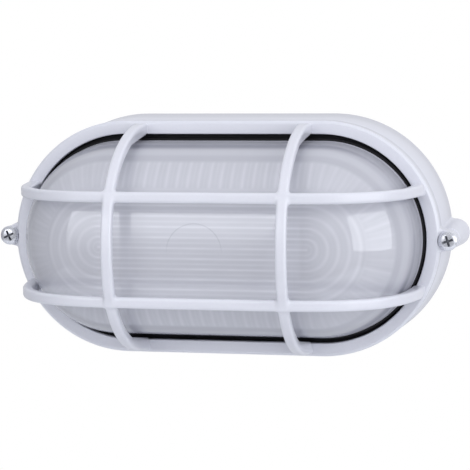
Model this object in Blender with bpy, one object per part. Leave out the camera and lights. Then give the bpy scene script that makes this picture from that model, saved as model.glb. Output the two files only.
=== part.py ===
# Oval caged bulkhead light: die-cast base, one-piece cage cover and pressed prismatic glass.
# Metres. The wall is the plane Y = 0, the light stands out of it towards -Y, Z is up.

import math

import bmesh
import bpy
import numpy as np
from mathutils import Matrix, Vector

# Fits and facets
seat_gap = 0.0003          # air left where two pieces touch
arc_steps = 16             # facets round each half-circle end
round_steps = 18           # facets round a turned piece
small_steps = 10           # facets round a small screw or hole
cut_margin = 0.002         # how far a cutter runs past the face it cuts
round_middle = 0.3         # share of a rounding where its middle facet starts
smooth_limit = math.radians(35)
glass_smooth_limit = math.radians(50)

# Oval plan: two half circles joined by straight sides
half_straight = 0.0493     # half the length of the straight sides
ring_radius = 0.0582       # outer edge of the cover ring
ring_face = 0.0066         # width of the cover ring's front face
base_spread = 0.002        # how far the base casting stands past the ring at the wall
skirt_wall = 0.0022        # thickness of the cover ring's skirt

# Distances out from the wall
floor_thickness = 0.003
body_depth = 0.0337        # wall to the shoulder that the cover ring meets
ring_depth = 0.012         # skirt edge to the cover's front face
ring_plate = 0.003         # front plate of the cover ring
ring_round = 0.0011        # rounding of the ring's outer front edge
lip_round = 0.0008         # rounding of the window's edge

# Base casting
tongue_wall = 0.0024       # rim that stands inside the cover's skirt
core_draft = 0.0006        # draft of the tray's inner wall over its depth
floor_fillet = 0.003
foot_chamfer = 0.0006
groove_inset = 0.0062      # wall seal groove in the back, in from the edge
groove_width = 0.003
groove_depth = 0.0016

# Cover screws and the pillars they go down into
screw_offset = 0.0037      # cover screw axis past the cover ring's end
screw_shank_radius = 0.002
screw_head_radius = 0.0043
screw_head_height = 0.0026
screw_length = 0.024
screw_head_side = 0.4      # shares of the head's height and radius down its domed outline
screw_head_shoulder = 0.82
screw_head_flat = 0.45
screw_point_radius = 0.7   # share of the shank's radius at its point
spot_depth = 0.0015        # spot face below the ring's front face
spot_radius = 0.0051
ear_radius = 0.0047
ear_root_width = 0.0125    # ear where it leaves the ring
ear_tip_steps = 9
pillar_top_radius = 0.005
pillar_foot_radius = 0.007
cross_width = 0.0011
cross_length = 0.0048
cross_depth = 0.0014

# Cage
bar_width = 0.0049
bar_depth = 0.0056
bar_front_flat = 0.0018    # flat left along the crest of a bar
bar_back_width = 0.0041
bar_shoulder_width = 0.82  # share of the half width where the crest's bevel ends
bar_shoulder_height = 0.7  # share of the half depth where it ends
bar_widest_height = 0.15   # share of the half depth where the bar is widest
long_bar_height = 0.0248   # long bars above and below the middle
short_bar_reach = 0.0413   # short bars left and right of the middle
long_bar_rise = 0.0595     # long bars in front of the ring's face
long_crown_power = 5.4     # how flat the long bars run along the front
long_leg_power = 1.8       # how steeply they leave the ring
short_crown_power = 2.0
short_leg_power = 2.28
long_foot_inset = 0.0045   # foot axis in from the ring's outer edge
short_foot_inset = 0.0037
foot_overhang = 0.0003     # how far a foot may stand past the ring's outer edge
foot_sink = 0.0016         # how far a foot runs into the ring
long_foot_flare = 0.0010   # extra half width at a foot
short_foot_flare = 0.0020
foot_flare_length = 0.010
bar_path_samples = 240
long_bar_steps = 24
short_bar_steps = 16

# Glass
glass_lengthening = 0.0009 # each half circle's centre past the ring's
gasket_showing = 0.0029    # rubber seen between the glass and the cover ring
glass_wall = 0.0033
flange_thickness = 0.003
dome_rise = 0.0535         # crown above the flange's front face
crown_wall = 0.0037
dome_power = 2.45          # squareness of the dome's section
flute_outer_inset = 0.0082 # flutes start this far in from the glass's edge
flute_inner_inset = 0.0212
flute_height = 0.0007
flutes_per_end = 16
flutes_per_side = 17
crown_rib_pitch = 0.0051
crown_rib_height = 0.0006
crown_rib_start = 0.0005   # first rib in from where the flutes end
dome_loop_angles = (0, 18, 34, 48, 60, 71, 82)
plain_band_share = 0.35    # loop across the plain band between the inner rim and the flutes
flute_run_in = 0.22        # share of a flute's length over which it rises
slope_step = 0.01          # share of a radius used to work out the dome's slope

# Glass gasket, a channel that wraps the glass's flange
gasket_leg = 0.0014
gasket_web = 0.0015

# Lamp and its holder, along X behind the middle of the glass
lamp_axis_out = 0.047
holder_inset = 0.0245      # back of the holder in from the ring's left end
holder_length = 0.042
holder_radius = 0.0195
holder_rim_radius = 0.0212
holder_rim_length = 0.006
holder_back_chamfer = 0.002
holder_rim_chamfer = 0.0012
holder_hole_depth = 0.006
shell_radius = 0.0141
shell_wall = 0.0007
shell_length = 0.027
shell_ridge = 0.0004
contact_radius = 0.0042
contact_thickness = 0.0008
contact_nose = 0.5         # share of the contact's radius at its raised nose
shell_opening_radius = 0.0067
shell_ridges = 3
cap_radius = 0.0126
cap_length = 0.0248
bulb_radius = 0.030
bulb_neck_radius = 0.0146
bulb_length = 0.080        # glass in front of the cap
bulb_neck_steps = 4
bulb_neck_flare = 0.003
bulb_angles = (0, 22, 44, 64, 80)
bulb_join = 0.35           # share of the sphere's radius behind its middle where the neck meets it
cap_tip_length = 0.0019
cap_shoulder_length = 0.0057

# Steel bracket under the holder
bracket_thickness = 0.0012
bracket_width = 0.025
bracket_foot = 0.020
bracket_top = 0.016        # above the lamp's axis
holder_screw_spacing = 0.020
bracket_screw_spacing = 0.014
bracket_screw_inset = 0.011

# Small screws
small_screw_radius = 0.0015
small_head_radius = 0.0027
small_head_height = 0.0018
small_head_side = 0.45     # shares of the height of a small head's side and the radius of its flat
small_head_flat = 0.6
small_screw_length = 0.006
pad_radius = 0.0036
pad_height = 0.002

# Mains terminal block and earth
block_spacing = 0.024      # block from the cable entry
block_length = 0.020
block_width = 0.026
block_height = 0.008
tower_height = 0.006
tower_width = 0.0088
tower_length = 0.018
pole_spacing = 0.016
pole_screw_spacing = 0.0092
pole_screw_radius = 0.0017
pole_screw_height = 0.0022
pole_screw_chamfer = 0.0004
pole_hole_depth = 0.003
earth_offset = 0.002       # earth screw from the block, along and across
earth_height = 0.031
earth_washer_radius = 0.0044
earth_washer_thickness = 0.0008

# Wall fixing and cable entry
fixing_reach = 0.045
fixing_pad_radius = 0.0055
fixing_pad_height = 0.003
fixing_hole_radius = 0.0025
fixing_slot_straight = 0.004   # the holes are slots along Z, so that the light can be levelled
entry_inset = 0.0215       # cable entry in from the ring's right end
entry_hole_radius = 0.0068
entry_recess_radius = 0.0095
entry_recess_depth = 0.0025
entry_boss_radius = 0.0112
grommet_lip = 0.0015
grommet_lip_draft = 0.0009
grommet_bore_radius = 0.004
grommet_membrane = 0.001

# Inner wires
wire_radius = 0.0013
wire_spread = 0.0092
wire_run_spread = 0.0101   # a little further apart along the tray's floor
wire_lift = 0.0045         # axis above the tray's floor
wire_lead = 0.004          # straight length out of the block
wire_drop = 0.016          # from the block to where the wire lies on the floor
wire_turn = 0.006          # turn up to the holder
wire_run_reach = 0.020     # half the straight stretch under the lamp
wire_holder_inset = 0.023   # wire holes from the back of the holder
wire_hole_depth = 0.003
holder_wire_hole_depth = 0.0059
wire_points = 17
wire_samples = 12          # points worked out between two points of the route

# Places that follow from the sizes above
lip_radius = ring_radius - ring_face
base_radius = ring_radius + base_spread
screw_reach = half_straight + ring_radius + screw_offset
glass_radius = lip_radius - gasket_showing
glass_half_straight = half_straight + glass_lengthening
flute_outer_radius = glass_radius - flute_outer_inset
flute_inner_radius = glass_radius - flute_inner_inset
skirt_back_out = body_depth + seat_gap
ring_front_out = skirt_back_out + ring_depth
plate_back_out = ring_front_out - ring_plate
skirt_inner_radius = ring_radius - skirt_wall
gasket_radius = skirt_inner_radius - seat_gap
gasket_front_out = plate_back_out - seat_gap
flange_front_out = gasket_front_out - gasket_leg - seat_gap
flange_back_out = flange_front_out - flange_thickness
gasket_back_out = flange_back_out - seat_gap - gasket_leg
rim_out = gasket_back_out - seat_gap
flange_radius = gasket_radius - gasket_web - seat_gap
tray_radius = gasket_radius - tongue_wall
inner_base_radius = glass_radius - glass_wall
inner_rise = dome_rise + flange_thickness - crown_wall
entry_place = half_straight + ring_radius - entry_inset
block_place = entry_place - block_spacing
earth_place = (block_place - earth_offset, earth_height)
holder_back = holder_inset - half_straight - ring_radius
pad_top_out = floor_thickness + pad_height
wire_floor_out = floor_thickness + wire_lift
small_hole_radius = small_screw_radius + seat_gap
wire_hole_radius = wire_radius + seat_gap
holder_front = holder_back + holder_length
wire_holder_place = holder_back + wire_holder_inset
spot_out = ring_front_out - spot_depth

ACROSS = Matrix.Rotation(math.pi / 2, 4, "X")
ALONG = Matrix.Rotation(math.pi / 2, 4, "Y")
BACKWARD = Matrix.Rotation(-math.pi / 2, 4, "Y")


def material(name, colour, roughness, metallic=0.0, transmission=0.0):
    finish = bpy.data.materials.new(name)
    finish.use_nodes = True
    shader = finish.node_tree.nodes["Principled BSDF"]
    shader.inputs["Base Color"].default_value = (*colour, 1.0)
    shader.inputs["Roughness"].default_value = roughness
    shader.inputs["Metallic"].default_value = metallic
    shader.inputs["Transmission Weight"].default_value = transmission
    finish.diffuse_color = (*colour, 1.0)
    return finish


def clear_scene():
    for thing in list(bpy.data.objects):
        bpy.data.objects.remove(thing, do_unlink=True)


def finish_mesh(name, mesh_tool, finish, sharp_angle=smooth_limit):
    bmesh.ops.recalc_face_normals(mesh_tool, faces=mesh_tool.faces)
    mesh = bpy.data.meshes.new(name)
    mesh_tool.to_mesh(mesh)
    mesh_tool.free()
    mesh.shade_smooth()
    mesh.set_sharp_from_angle(angle=sharp_angle)
    mesh.materials.append(finish)
    piece = bpy.data.objects.new(name, mesh)
    bpy.context.scene.collection.objects.link(piece)
    return piece


def oval_point(turn, radius, straight, out):
    # turn runs 0-1 round the right end, 1-2 along the top, 2-3 round the left end, 3-4 along the bottom
    stretch = int(turn) % 4
    share = turn - int(turn)
    if stretch == 0:
        angle = math.pi * (share - 0.5)
        return Vector((straight + radius * math.cos(angle), -out, radius * math.sin(angle)))
    if stretch == 1:
        return Vector((straight * (1 - 2 * share), -out, radius))
    if stretch == 2:
        angle = math.pi * (share + 0.5)
        return Vector((-straight + radius * math.cos(angle), -out, radius * math.sin(angle)))
    return Vector((straight * (2 * share - 1), -out, -radius))


def oval_turns(per_end, per_side=1):
    ends = [step / per_end for step in range(per_end)]
    sides = [1 + step / per_side for step in range(per_side)]
    half = ends + sides
    return half + [turn + 2 for turn in half]


def oval_loop(mesh_tool, radius, straight, out, turns):
    return [(turn, mesh_tool.verts.new(oval_point(turn, radius, straight, out))) for turn in turns]


def stitch(mesh_tool, first, second):
    # joins two closed loops, quads where their points match and triangles where they don't
    if len(first) == len(second):
        for step in range(len(first)):
            after = (step + 1) % len(first)
            mesh_tool.faces.new((first[step][1], first[after][1], second[after][1], second[step][1]))
        return
    one, two = 0, 0
    first_end, second_end = len(first), len(second)
    full_turn = 4.0
    while one < first_end or two < second_end:
        here, there = first[one % first_end], second[two % second_end]
        next_first = first[(one + 1) % first_end]
        next_second = second[(two + 1) % second_end]
        reach_first = next_first[0] + (full_turn if one + 1 >= first_end else 0)
        reach_second = next_second[0] + (full_turn if two + 1 >= second_end else 0)
        take_first = one < first_end and (two >= second_end or middle(here[0], reach_first, one, first_end)
                                          <= middle(there[0], reach_second, two, second_end))
        if take_first:
            mesh_tool.faces.new((here[1], next_first[1], there[1]))
            one += 1
        else:
            mesh_tool.faces.new((here[1], next_second[1], there[1]))
            two += 1


def middle(start, reach, step, count):
    return (start + reach) / 2 if step < count else reach


def oval_sweep(name, profile, finish, closed=False):
    # profile: (radius, straight, out) for each loop, run in order round the section
    mesh_tool = bmesh.new()
    turns = oval_turns(arc_steps)
    loops = [oval_loop(mesh_tool, *point, turns) for point in profile]
    for before, after in zip(loops, loops[1:]):
        stitch(mesh_tool, before, after)
    if closed:
        stitch(mesh_tool, loops[-1], loops[0])
    else:
        mesh_tool.faces.new([vert for _, vert in loops[0]])
        mesh_tool.faces.new([vert for _, vert in loops[-1]])
    return finish_mesh(name, mesh_tool, finish)


def turned(name, profile, finish, steps=round_steps, place=(0, 0, 0), turn=None, sharp_angle=smooth_limit):
    # profile: (radius, height) from one end to the other; a zero radius closes to a point
    mesh_tool = bmesh.new()
    rows = []
    for radius, height in profile:
        if radius == 0:
            rows.append([mesh_tool.verts.new((0, 0, height))])
            continue
        rows.append([mesh_tool.verts.new((radius * math.cos(2 * math.pi * step / steps),
                                          radius * math.sin(2 * math.pi * step / steps), height))
                     for step in range(steps)])
    for before, after in zip(rows, rows[1:]):
        for step in range(steps):
            following = (step + 1) % steps
            corners = [before[step % len(before)], before[following % len(before)],
                       after[following % len(after)], after[step % len(after)]]
            mesh_tool.faces.new(list(dict.fromkeys(corners)))
    for row in (rows[0], rows[-1]):
        if len(row) > 1:
            mesh_tool.faces.new(row)
    if turn is not None:
        bmesh.ops.transform(mesh_tool, matrix=turn, verts=mesh_tool.verts)
    piece = finish_mesh(name, mesh_tool, finish, sharp_angle)
    piece.location = place
    return piece


def box(name, low, high, finish):
    mesh_tool = bmesh.new()
    bmesh.ops.create_cube(mesh_tool, size=1.0)
    for vert in mesh_tool.verts:
        for axis in range(3):
            vert.co[axis] = low[axis] if vert.co[axis] < 0 else high[axis]
    return finish_mesh(name, mesh_tool, finish)


def combine(piece, tool, operation):
    tool.hide_render = True
    tool.display_type = "WIRE"
    change = piece.modifiers.new(f"{operation.title()} {tool.name}", "BOOLEAN")
    change.operation = operation
    change.solver = "EXACT"
    change.object = tool


def add(piece, tool):
    combine(piece, tool, "UNION")


def cut(piece, tool):
    combine(piece, tool, "DIFFERENCE")


def wall_cylinder(name, radius, start_out, end_out, x, z, finish, steps=small_steps):
    # a plain cylinder square to the wall
    return turned(name, [(radius, start_out), (radius, end_out)], finish, steps, (x, 0, z), ACROSS)


def wall_block(name, outline, start_out, end_out, finish):
    # an outline of (x, z) points made into a block square to the wall
    mesh_tool = bmesh.new()
    back = [mesh_tool.verts.new((x, -start_out, z)) for x, z in outline]
    front = [mesh_tool.verts.new((x, -end_out, z)) for x, z in outline]
    for step in range(len(outline)):
        following = (step + 1) % len(outline)
        mesh_tool.faces.new((back[step], back[following], front[following], front[step]))
    mesh_tool.faces.new(back)
    mesh_tool.faces.new(front)
    return finish_mesh(name, mesh_tool, finish)


def slot_outline(radius, straight, x, steps):
    # two half circles, one above the other, joined by straight sides
    angles = [math.pi * step / (steps // 2) for step in range(steps // 2 + 1)]
    return [(x + side * radius * math.cos(angle), side * (straight / 2 + radius * math.sin(angle)))
            for side in (1, -1) for angle in angles]


def arch(share, crown_power, leg_power):
    # height of an arch of unit height: share is 0 at its middle and 1 at its foot
    return max(0.0, 1 - abs(share) ** crown_power) ** (1 / leg_power)


def long_bar_height_at(x, foot):
    return long_bar_rise * arch(x / foot, long_crown_power, long_leg_power)


def short_bar_share(z, foot):
    return arch(z / foot, short_crown_power, short_leg_power)


def even_path(points, count):
    points = np.array(points)
    travelled = np.concatenate([[0], np.cumsum(np.linalg.norm(np.diff(points, axis=0), axis=1))])
    wanted = np.linspace(0, travelled[-1], count + 1)
    return [Vector([np.interp(at, travelled, points[:, axis]) for axis in range(3)]) for at in wanted]


def bar_section(side, front, flare):
    # side and front are unit vectors across the bar and away from the glass
    half = bar_width / 2 + flare
    back_half = bar_back_width / 2 + flare
    crest = bar_front_flat / 2 + flare / 2
    front_reach = bar_depth / 2 + flare / 2
    shoulder = front_reach * bar_shoulder_height
    corners = [(crest, front_reach), (half * bar_shoulder_width, shoulder),
               (half, front_reach * bar_widest_height),
               (back_half, -bar_depth / 2)]
    corners += [(-across, outward) for across, outward in reversed(corners)]
    return [side * across + front * outward for across, outward in corners]


def within_ring(point):
    # pulls a point of a foot in to the ring's outline
    limit = ring_radius + foot_overhang
    centre = max(-half_straight, min(half_straight, point.x))
    reach = math.hypot(point.x - centre, point.z)
    if reach <= limit:
        return point
    share = limit / reach
    return Vector((centre + (point.x - centre) * share, point.y, point.z * share))


def cage_bar(name, path, side, foot_flare, finish):
    mesh_tool = bmesh.new()
    rows = []
    foot_points = (path[0], path[-1])
    for index, point in enumerate(path):
        before, after = path[max(index - 1, 0)], path[min(index + 1, len(path) - 1)]
        along = (after - before).normalized()
        front = side.cross(along).normalized()
        to_foot = min((point - foot).length for foot in foot_points)
        flare = foot_flare * max(0.0, 1 - to_foot / foot_flare_length) ** 2
        rows.append([mesh_tool.verts.new(within_ring(point + corner))
                     for corner in bar_section(side, front, flare)])
    for before, after in zip(rows, rows[1:]):
        for step in range(len(before)):
            following = (step + 1) % len(before)
            mesh_tool.faces.new((before[step], before[following], after[following], after[step]))
    mesh_tool.faces.new(rows[0])
    mesh_tool.faces.new(rows[-1])
    return finish_mesh(name, mesh_tool, finish)


def bar_path(half_length, rise_at, place_at, count):
    # a dense curve over the span, with a straight stub down into the ring at each foot
    samples = bar_path_samples
    spots = [half_length * math.sin(math.pi / 2 * (2 * step / samples - 1)) for step in range(samples + 1)]
    curve = [place_at(spot, ring_front_out + rise_at(spot)) for spot in spots]
    stub = ring_front_out - foot_sink
    return even_path([place_at(-half_length, stub), *curve, place_at(half_length, stub)], count)


def cage_frame(paint):
    edge, window = ring_radius, lip_radius
    profile = [
        (window, plate_back_out), (window, ring_front_out - lip_round),
        (window + lip_round * round_middle, ring_front_out - lip_round * round_middle),
        (window + lip_round, ring_front_out), (edge - ring_round, ring_front_out),
        (edge - ring_round * round_middle, ring_front_out - ring_round * round_middle),
        (edge, ring_front_out - ring_round), (edge, skirt_back_out),
        (skirt_inner_radius, skirt_back_out), (skirt_inner_radius, plate_back_out)]
    section = [(radius, half_straight, out) for radius, out in profile]
    frame = oval_sweep("cage_frame", section, paint, closed=True)
    long_foot = half_straight + math.sqrt(edge ** 2 - long_bar_height ** 2) - long_foot_inset
    short_foot = edge - short_foot_inset
    crossing = long_bar_height_at(short_bar_reach, long_foot)
    short_rise = crossing / short_bar_share(long_bar_height, short_foot)
    for side_name, sign in (("right", 1), ("left", -1)):
        path = bar_path(short_foot, lambda z: short_rise * short_bar_share(z, short_foot),
                        lambda z, out, sign=sign: (sign * short_bar_reach, -out, z), short_bar_steps)
        add(frame, cage_bar(f"short_bar_{side_name}", path, Vector((-1, 0, 0)), short_foot_flare, paint))
    for side_name, sign in (("upper", 1), ("lower", -1)):
        path = bar_path(long_foot, lambda x: long_bar_height_at(x, long_foot),
                        lambda x, out, sign=sign: (x, -out, sign * long_bar_height), long_bar_steps)
        add(frame, cage_bar(f"long_bar_{side_name}", path, Vector((0, 0, 1)), long_foot_flare, paint))
    for side_name, sign in (("right", 1), ("left", -1)):
        add(frame, cover_ear(f"ear_{side_name}", sign, paint))
        cut(frame, wall_cylinder(f"spot_face_{side_name}", spot_radius, spot_out, ring_front_out + cut_margin,
                                 sign * screw_reach, 0, paint, round_steps))
        cut(frame, wall_cylinder(f"ear_hole_{side_name}", screw_shank_radius + seat_gap,
                                 skirt_back_out - cut_margin, ring_front_out + cut_margin,
                                 sign * screw_reach, 0, paint))
    return frame


def ear_outline(tip_radius, root_width, reach, root):
    # half-round tip with straight flanks that widen to the root
    angles = [math.pi * (step / ear_tip_steps - 0.5) for step in range(ear_tip_steps + 1)]
    tip = [(reach + tip_radius * math.cos(angle), tip_radius * math.sin(angle)) for angle in angles]
    return [(root, -root_width / 2), *tip, (root, root_width / 2)]


def cover_ear(name, sign, paint):
    root = half_straight + (ring_radius + skirt_inner_radius) / 2
    outline = ear_outline(ear_radius, ear_root_width, screw_reach, root)
    return wall_block(name, [(sign * x, z) for x, z in outline], skirt_back_out, spot_out, paint)


def body_casting(paint):
    tray_foot = tray_radius - core_draft
    profile = [
        (tray_foot - floor_fillet, half_straight, floor_thickness),
        (tray_foot - floor_fillet * round_middle, half_straight,
         floor_thickness + floor_fillet * round_middle),
        (tray_foot, half_straight, floor_thickness + floor_fillet),
        (tray_radius, half_straight, rim_out),
        (gasket_radius, half_straight, rim_out),
        (gasket_radius, half_straight, body_depth),
        (ring_radius, half_straight, body_depth),
        (base_radius, half_straight, foot_chamfer),
        (base_radius - foot_chamfer, half_straight, 0),
        (base_radius - groove_inset + groove_width, half_straight, 0),
        (base_radius - groove_inset + groove_width, half_straight, groove_depth),
        (base_radius - groove_inset, half_straight, groove_depth),
        (base_radius - groove_inset, half_straight, 0)]
    body = oval_sweep("body_casting", profile, paint)
    for side_name, sign in (("right", 1), ("left", -1)):
        pillar = [(pillar_foot_radius, 0), (pillar_top_radius, body_depth)]
        add(body, turned(f"pillar_{side_name}", pillar, paint, round_steps,
                         (sign * screw_reach, 0, 0), ACROSS))
        cut(body, wall_cylinder(f"screw_hole_{side_name}", screw_shank_radius + seat_gap,
                                spot_out - screw_length - seat_gap, body_depth + cut_margin,
                                sign * screw_reach, 0, paint))
        pad_top = floor_thickness + fixing_pad_height
        pad = slot_outline(fixing_pad_radius, fixing_slot_straight, sign * fixing_reach, round_steps)
        slot = slot_outline(fixing_hole_radius, fixing_slot_straight, sign * fixing_reach, small_steps)
        add(body, wall_block(f"fixing_pad_{side_name}", pad, floor_thickness / 2, pad_top, paint))
        cut(body, wall_block(f"fixing_slot_{side_name}", slot, -cut_margin, pad_top + cut_margin, paint))
    for number, (x, z) in enumerate(small_screw_places()):
        add(body, wall_cylinder(f"screw_pad_{number}", pad_radius, floor_thickness / 2, pad_top_out,
                                x, z, paint))
        cut(body, wall_cylinder(f"screw_pad_hole_{number}", small_hole_radius,
                                floor_thickness / 2, pad_top_out + cut_margin, x, z, paint))
    boss_top = entry_recess_depth + floor_thickness
    add(body, wall_cylinder("entry_boss", entry_boss_radius, floor_thickness / 2, boss_top,
                            entry_place, 0, paint, round_steps))
    cut(body, wall_cylinder("entry_recess", entry_recess_radius, -cut_margin, entry_recess_depth,
                            entry_place, 0, paint, round_steps))
    cut(body, wall_cylinder("entry_hole", entry_hole_radius, 0, boss_top + cut_margin,
                            entry_place, 0, paint, round_steps))
    return body


def bracket_screw_x():
    return holder_back - seat_gap - bracket_thickness + bracket_screw_inset


def small_screw_places():
    half = bracket_screw_spacing / 2
    return [(bracket_screw_x(), half), (bracket_screw_x(), -half), (block_place, 0), earth_place]


def dome_out(radius, base_radius_here, rise, base_out):
    share = min(radius / base_radius_here, 1.0)
    return base_out + rise * (1 - share ** dome_power) ** (1 / dome_power)


def inner_out(radius):
    return dome_out(radius, inner_base_radius, inner_rise, flange_back_out)


def inner_point(turn, radius, lift):
    # a point of the dome's inner face, lifted towards the lamp by the height of a rib
    step = radius * slope_step
    slope = (inner_out(radius - step) - inner_out(radius + step)) / (2 * step)
    length = math.hypot(slope, 1)
    return oval_point(turn, radius - lift * slope / length, glass_half_straight,
                      inner_out(radius) - lift / length)


def inner_loop(mesh_tool, radius, lifts, turns):
    return [(turn, mesh_tool.verts.new(inner_point(turn, radius, lift)))
            for turn, lift in zip(turns, lifts)]


def glass_diffuser(glass):
    mesh_tool = bmesh.new()
    coarse = oval_turns(arc_steps)
    fine = oval_turns(flutes_per_end * 2, flutes_per_side * 2)
    straight = glass_half_straight

    outer = [oval_loop(mesh_tool, flange_radius, half_straight, flange_back_out, coarse),
             oval_loop(mesh_tool, flange_radius, half_straight, flange_front_out, coarse)]
    for angle in dome_loop_angles:
        radius = glass_radius * math.cos(math.radians(angle)) ** (2 / dome_power)
        out = dome_out(radius, glass_radius, dome_rise, flange_front_out)
        outer.append(oval_loop(mesh_tool, radius, straight, out, coarse))
    for before, after in zip(outer, outer[1:]):
        stitch(mesh_tool, before, after)
    mesh_tool.faces.new([vert for _, vert in outer[-1]])

    inner = [inner_loop(mesh_tool, inner_base_radius, [0] * len(coarse), coarse)]
    band_radius = inner_base_radius + (flute_outer_radius - inner_base_radius) * plain_band_share
    inner.append(inner_loop(mesh_tool, band_radius, [0] * len(coarse), coarse))
    alternate = [flute_height * (index % 2) for index in range(len(fine))]
    level = [0] * len(fine)
    flute_rows = [(0, level), (flute_run_in, alternate), (1 - flute_run_in, alternate), (1, level)]
    for share, lifts in flute_rows:
        radius = flute_outer_radius + (flute_inner_radius - flute_outer_radius) * share
        inner.append(inner_loop(mesh_tool, radius, lifts, fine))
    ribs = int(flute_inner_radius / crown_rib_pitch)
    for index in range(2 * ribs + 1):
        radius = flute_inner_radius - crown_rib_start - index * crown_rib_pitch / 2
        lift = crown_rib_height * (index % 2)
        inner.append(inner_loop(mesh_tool, radius, [lift] * len(coarse), coarse))
    for before, after in zip(inner, inner[1:]):
        stitch(mesh_tool, before, after)
    stitch(mesh_tool, outer[0], inner[0])
    mesh_tool.faces.new([vert for _, vert in inner[-1]])
    return finish_mesh("glass_diffuser", mesh_tool, glass, glass_smooth_limit)


def glass_gasket(rubber):
    throat = glass_radius + seat_gap
    profile = [
        (throat, glass_half_straight, gasket_front_out),
        (gasket_radius, half_straight, gasket_front_out),
        (gasket_radius, half_straight, gasket_back_out),
        (tray_radius - gasket_leg, half_straight, gasket_back_out),
        (tray_radius - gasket_leg, half_straight, gasket_back_out + gasket_leg),
        (gasket_radius - gasket_web, half_straight, gasket_back_out + gasket_leg),
        (gasket_radius - gasket_web, half_straight, gasket_front_out - gasket_leg),
        (throat, glass_half_straight, gasket_front_out - gasket_leg)]
    return oval_sweep("glass_gasket", profile, rubber, closed=True)


def pan_screw(name, head_radius, head_height, shank_radius, length, finish, place, turn):
    # along +Z before it is turned: the shank below zero, the head above
    profile = [(shank_radius, -length), (shank_radius, 0), (head_radius, 0),
               (head_radius, head_height * small_head_side), (head_radius * small_head_flat, head_height)]
    return turned(name, profile, finish, small_steps, place, turn)


def cross_head_screw(name, finish, place):
    # a pan head with a cross recess, on a shank with a chamfered end
    height, shank = screw_head_height, screw_shank_radius
    point = shank * screw_point_radius
    profile = [(point, -screw_length), (shank, point - screw_length), (shank, 0),
               (screw_head_radius, 0), (screw_head_radius, height * screw_head_side),
               (screw_head_radius * screw_head_shoulder, height * screw_head_shoulder),
               (screw_head_radius * screw_head_flat, height)]
    screw = turned(name, profile, finish, round_steps, place, ACROSS)
    half_long, half_wide = cross_length / 2, cross_width / 2
    for blade, (half_x, half_y) in enumerate(((half_long, half_wide), (half_wide, half_long))):
        tool = box(f"{name}_recess_{blade}", (-half_x, -half_y, height - cross_depth),
                   (half_x, half_y, height + cut_margin), finish)
        tool.data.transform(ACROSS)
        tool.location = place
        cut(screw, tool)
    return screw


def cover_screws(steel):
    for side_name, sign in (("left", -1), ("right", 1)):
        cross_head_screw(f"cover_screw_{side_name}", steel, (sign * screw_reach, -spot_out - seat_gap, 0))


def lampholder(ceramic, brass):
    bore = shell_radius + seat_gap
    shell_back = holder_front - shell_length
    contact_seat = shell_back - seat_gap - contact_thickness
    rim_back = holder_front - holder_rim_length
    pocket = contact_radius + seat_gap
    profile = [(holder_radius - holder_back_chamfer, holder_back),
               (holder_radius, holder_back + holder_back_chamfer),
               (holder_radius, rim_back), (holder_rim_radius, rim_back + holder_rim_chamfer),
               (holder_rim_radius, holder_front),
               (bore, holder_front), (bore, shell_back - seat_gap), (pocket, shell_back - seat_gap),
               (pocket, contact_seat - seat_gap)]
    centre = (0, -lamp_axis_out, 0)
    holder = turned("lampholder_body", profile, ceramic, round_steps, centre, ALONG)
    for side_name, sign in (("upper", 1), ("lower", -1)):
        offset = (0, 0, sign * holder_screw_spacing / 2)
        tool = turned(f"holder_screw_hole_{side_name}",
                      [(small_hole_radius, holder_back - cut_margin),
                       (small_hole_radius, holder_back + small_screw_length)],
                      ceramic, small_steps, Vector(centre) + Vector(offset), ALONG)
        cut(holder, tool)
        surface = lamp_axis_out - holder_radius
        cut(holder, wall_cylinder(f"holder_wire_hole_{side_name}", wire_hole_radius, surface - cut_margin,
                                  surface + holder_wire_hole_depth,
                                  wire_holder_place, sign * wire_spread, ceramic))
    pitch = shell_length / (2 * shell_ridges)
    outside = [(shell_radius - shell_ridge * (index % 2), shell_back + pitch * index)
               for index in range(2 * shell_ridges + 1)]
    inside_radius = shell_radius - shell_ridge - shell_wall
    floor_front = shell_back + shell_wall
    sleeve = outside + [(inside_radius, holder_front), (inside_radius, floor_front),
                        (shell_opening_radius, floor_front), (shell_opening_radius, shell_back)]
    ring_turned("lampholder_shell", sleeve, brass, centre)
    face = contact_seat + contact_thickness
    turned("lampholder_contact", [(contact_radius, contact_seat), (contact_radius, face),
                                  (contact_radius * contact_nose, face + contact_thickness)],
           brass, small_steps, centre, ALONG)
    return holder


def ring_turned(name, profile, finish, place):
    # a turned piece with a hole right through: the profile closes on itself
    mesh_tool = bmesh.new()
    rows = [[mesh_tool.verts.new((radius * math.cos(2 * math.pi * step / round_steps),
                                  radius * math.sin(2 * math.pi * step / round_steps), height))
             for step in range(round_steps)] for radius, height in profile]
    for index, before in enumerate(rows):
        after = rows[(index + 1) % len(rows)]
        for step in range(round_steps):
            following = (step + 1) % round_steps
            mesh_tool.faces.new((before[step], before[following], after[following], after[step]))
    bmesh.ops.transform(mesh_tool, matrix=ALONG, verts=mesh_tool.verts)
    piece = finish_mesh(name, mesh_tool, finish)
    piece.location = place
    return piece


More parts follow.
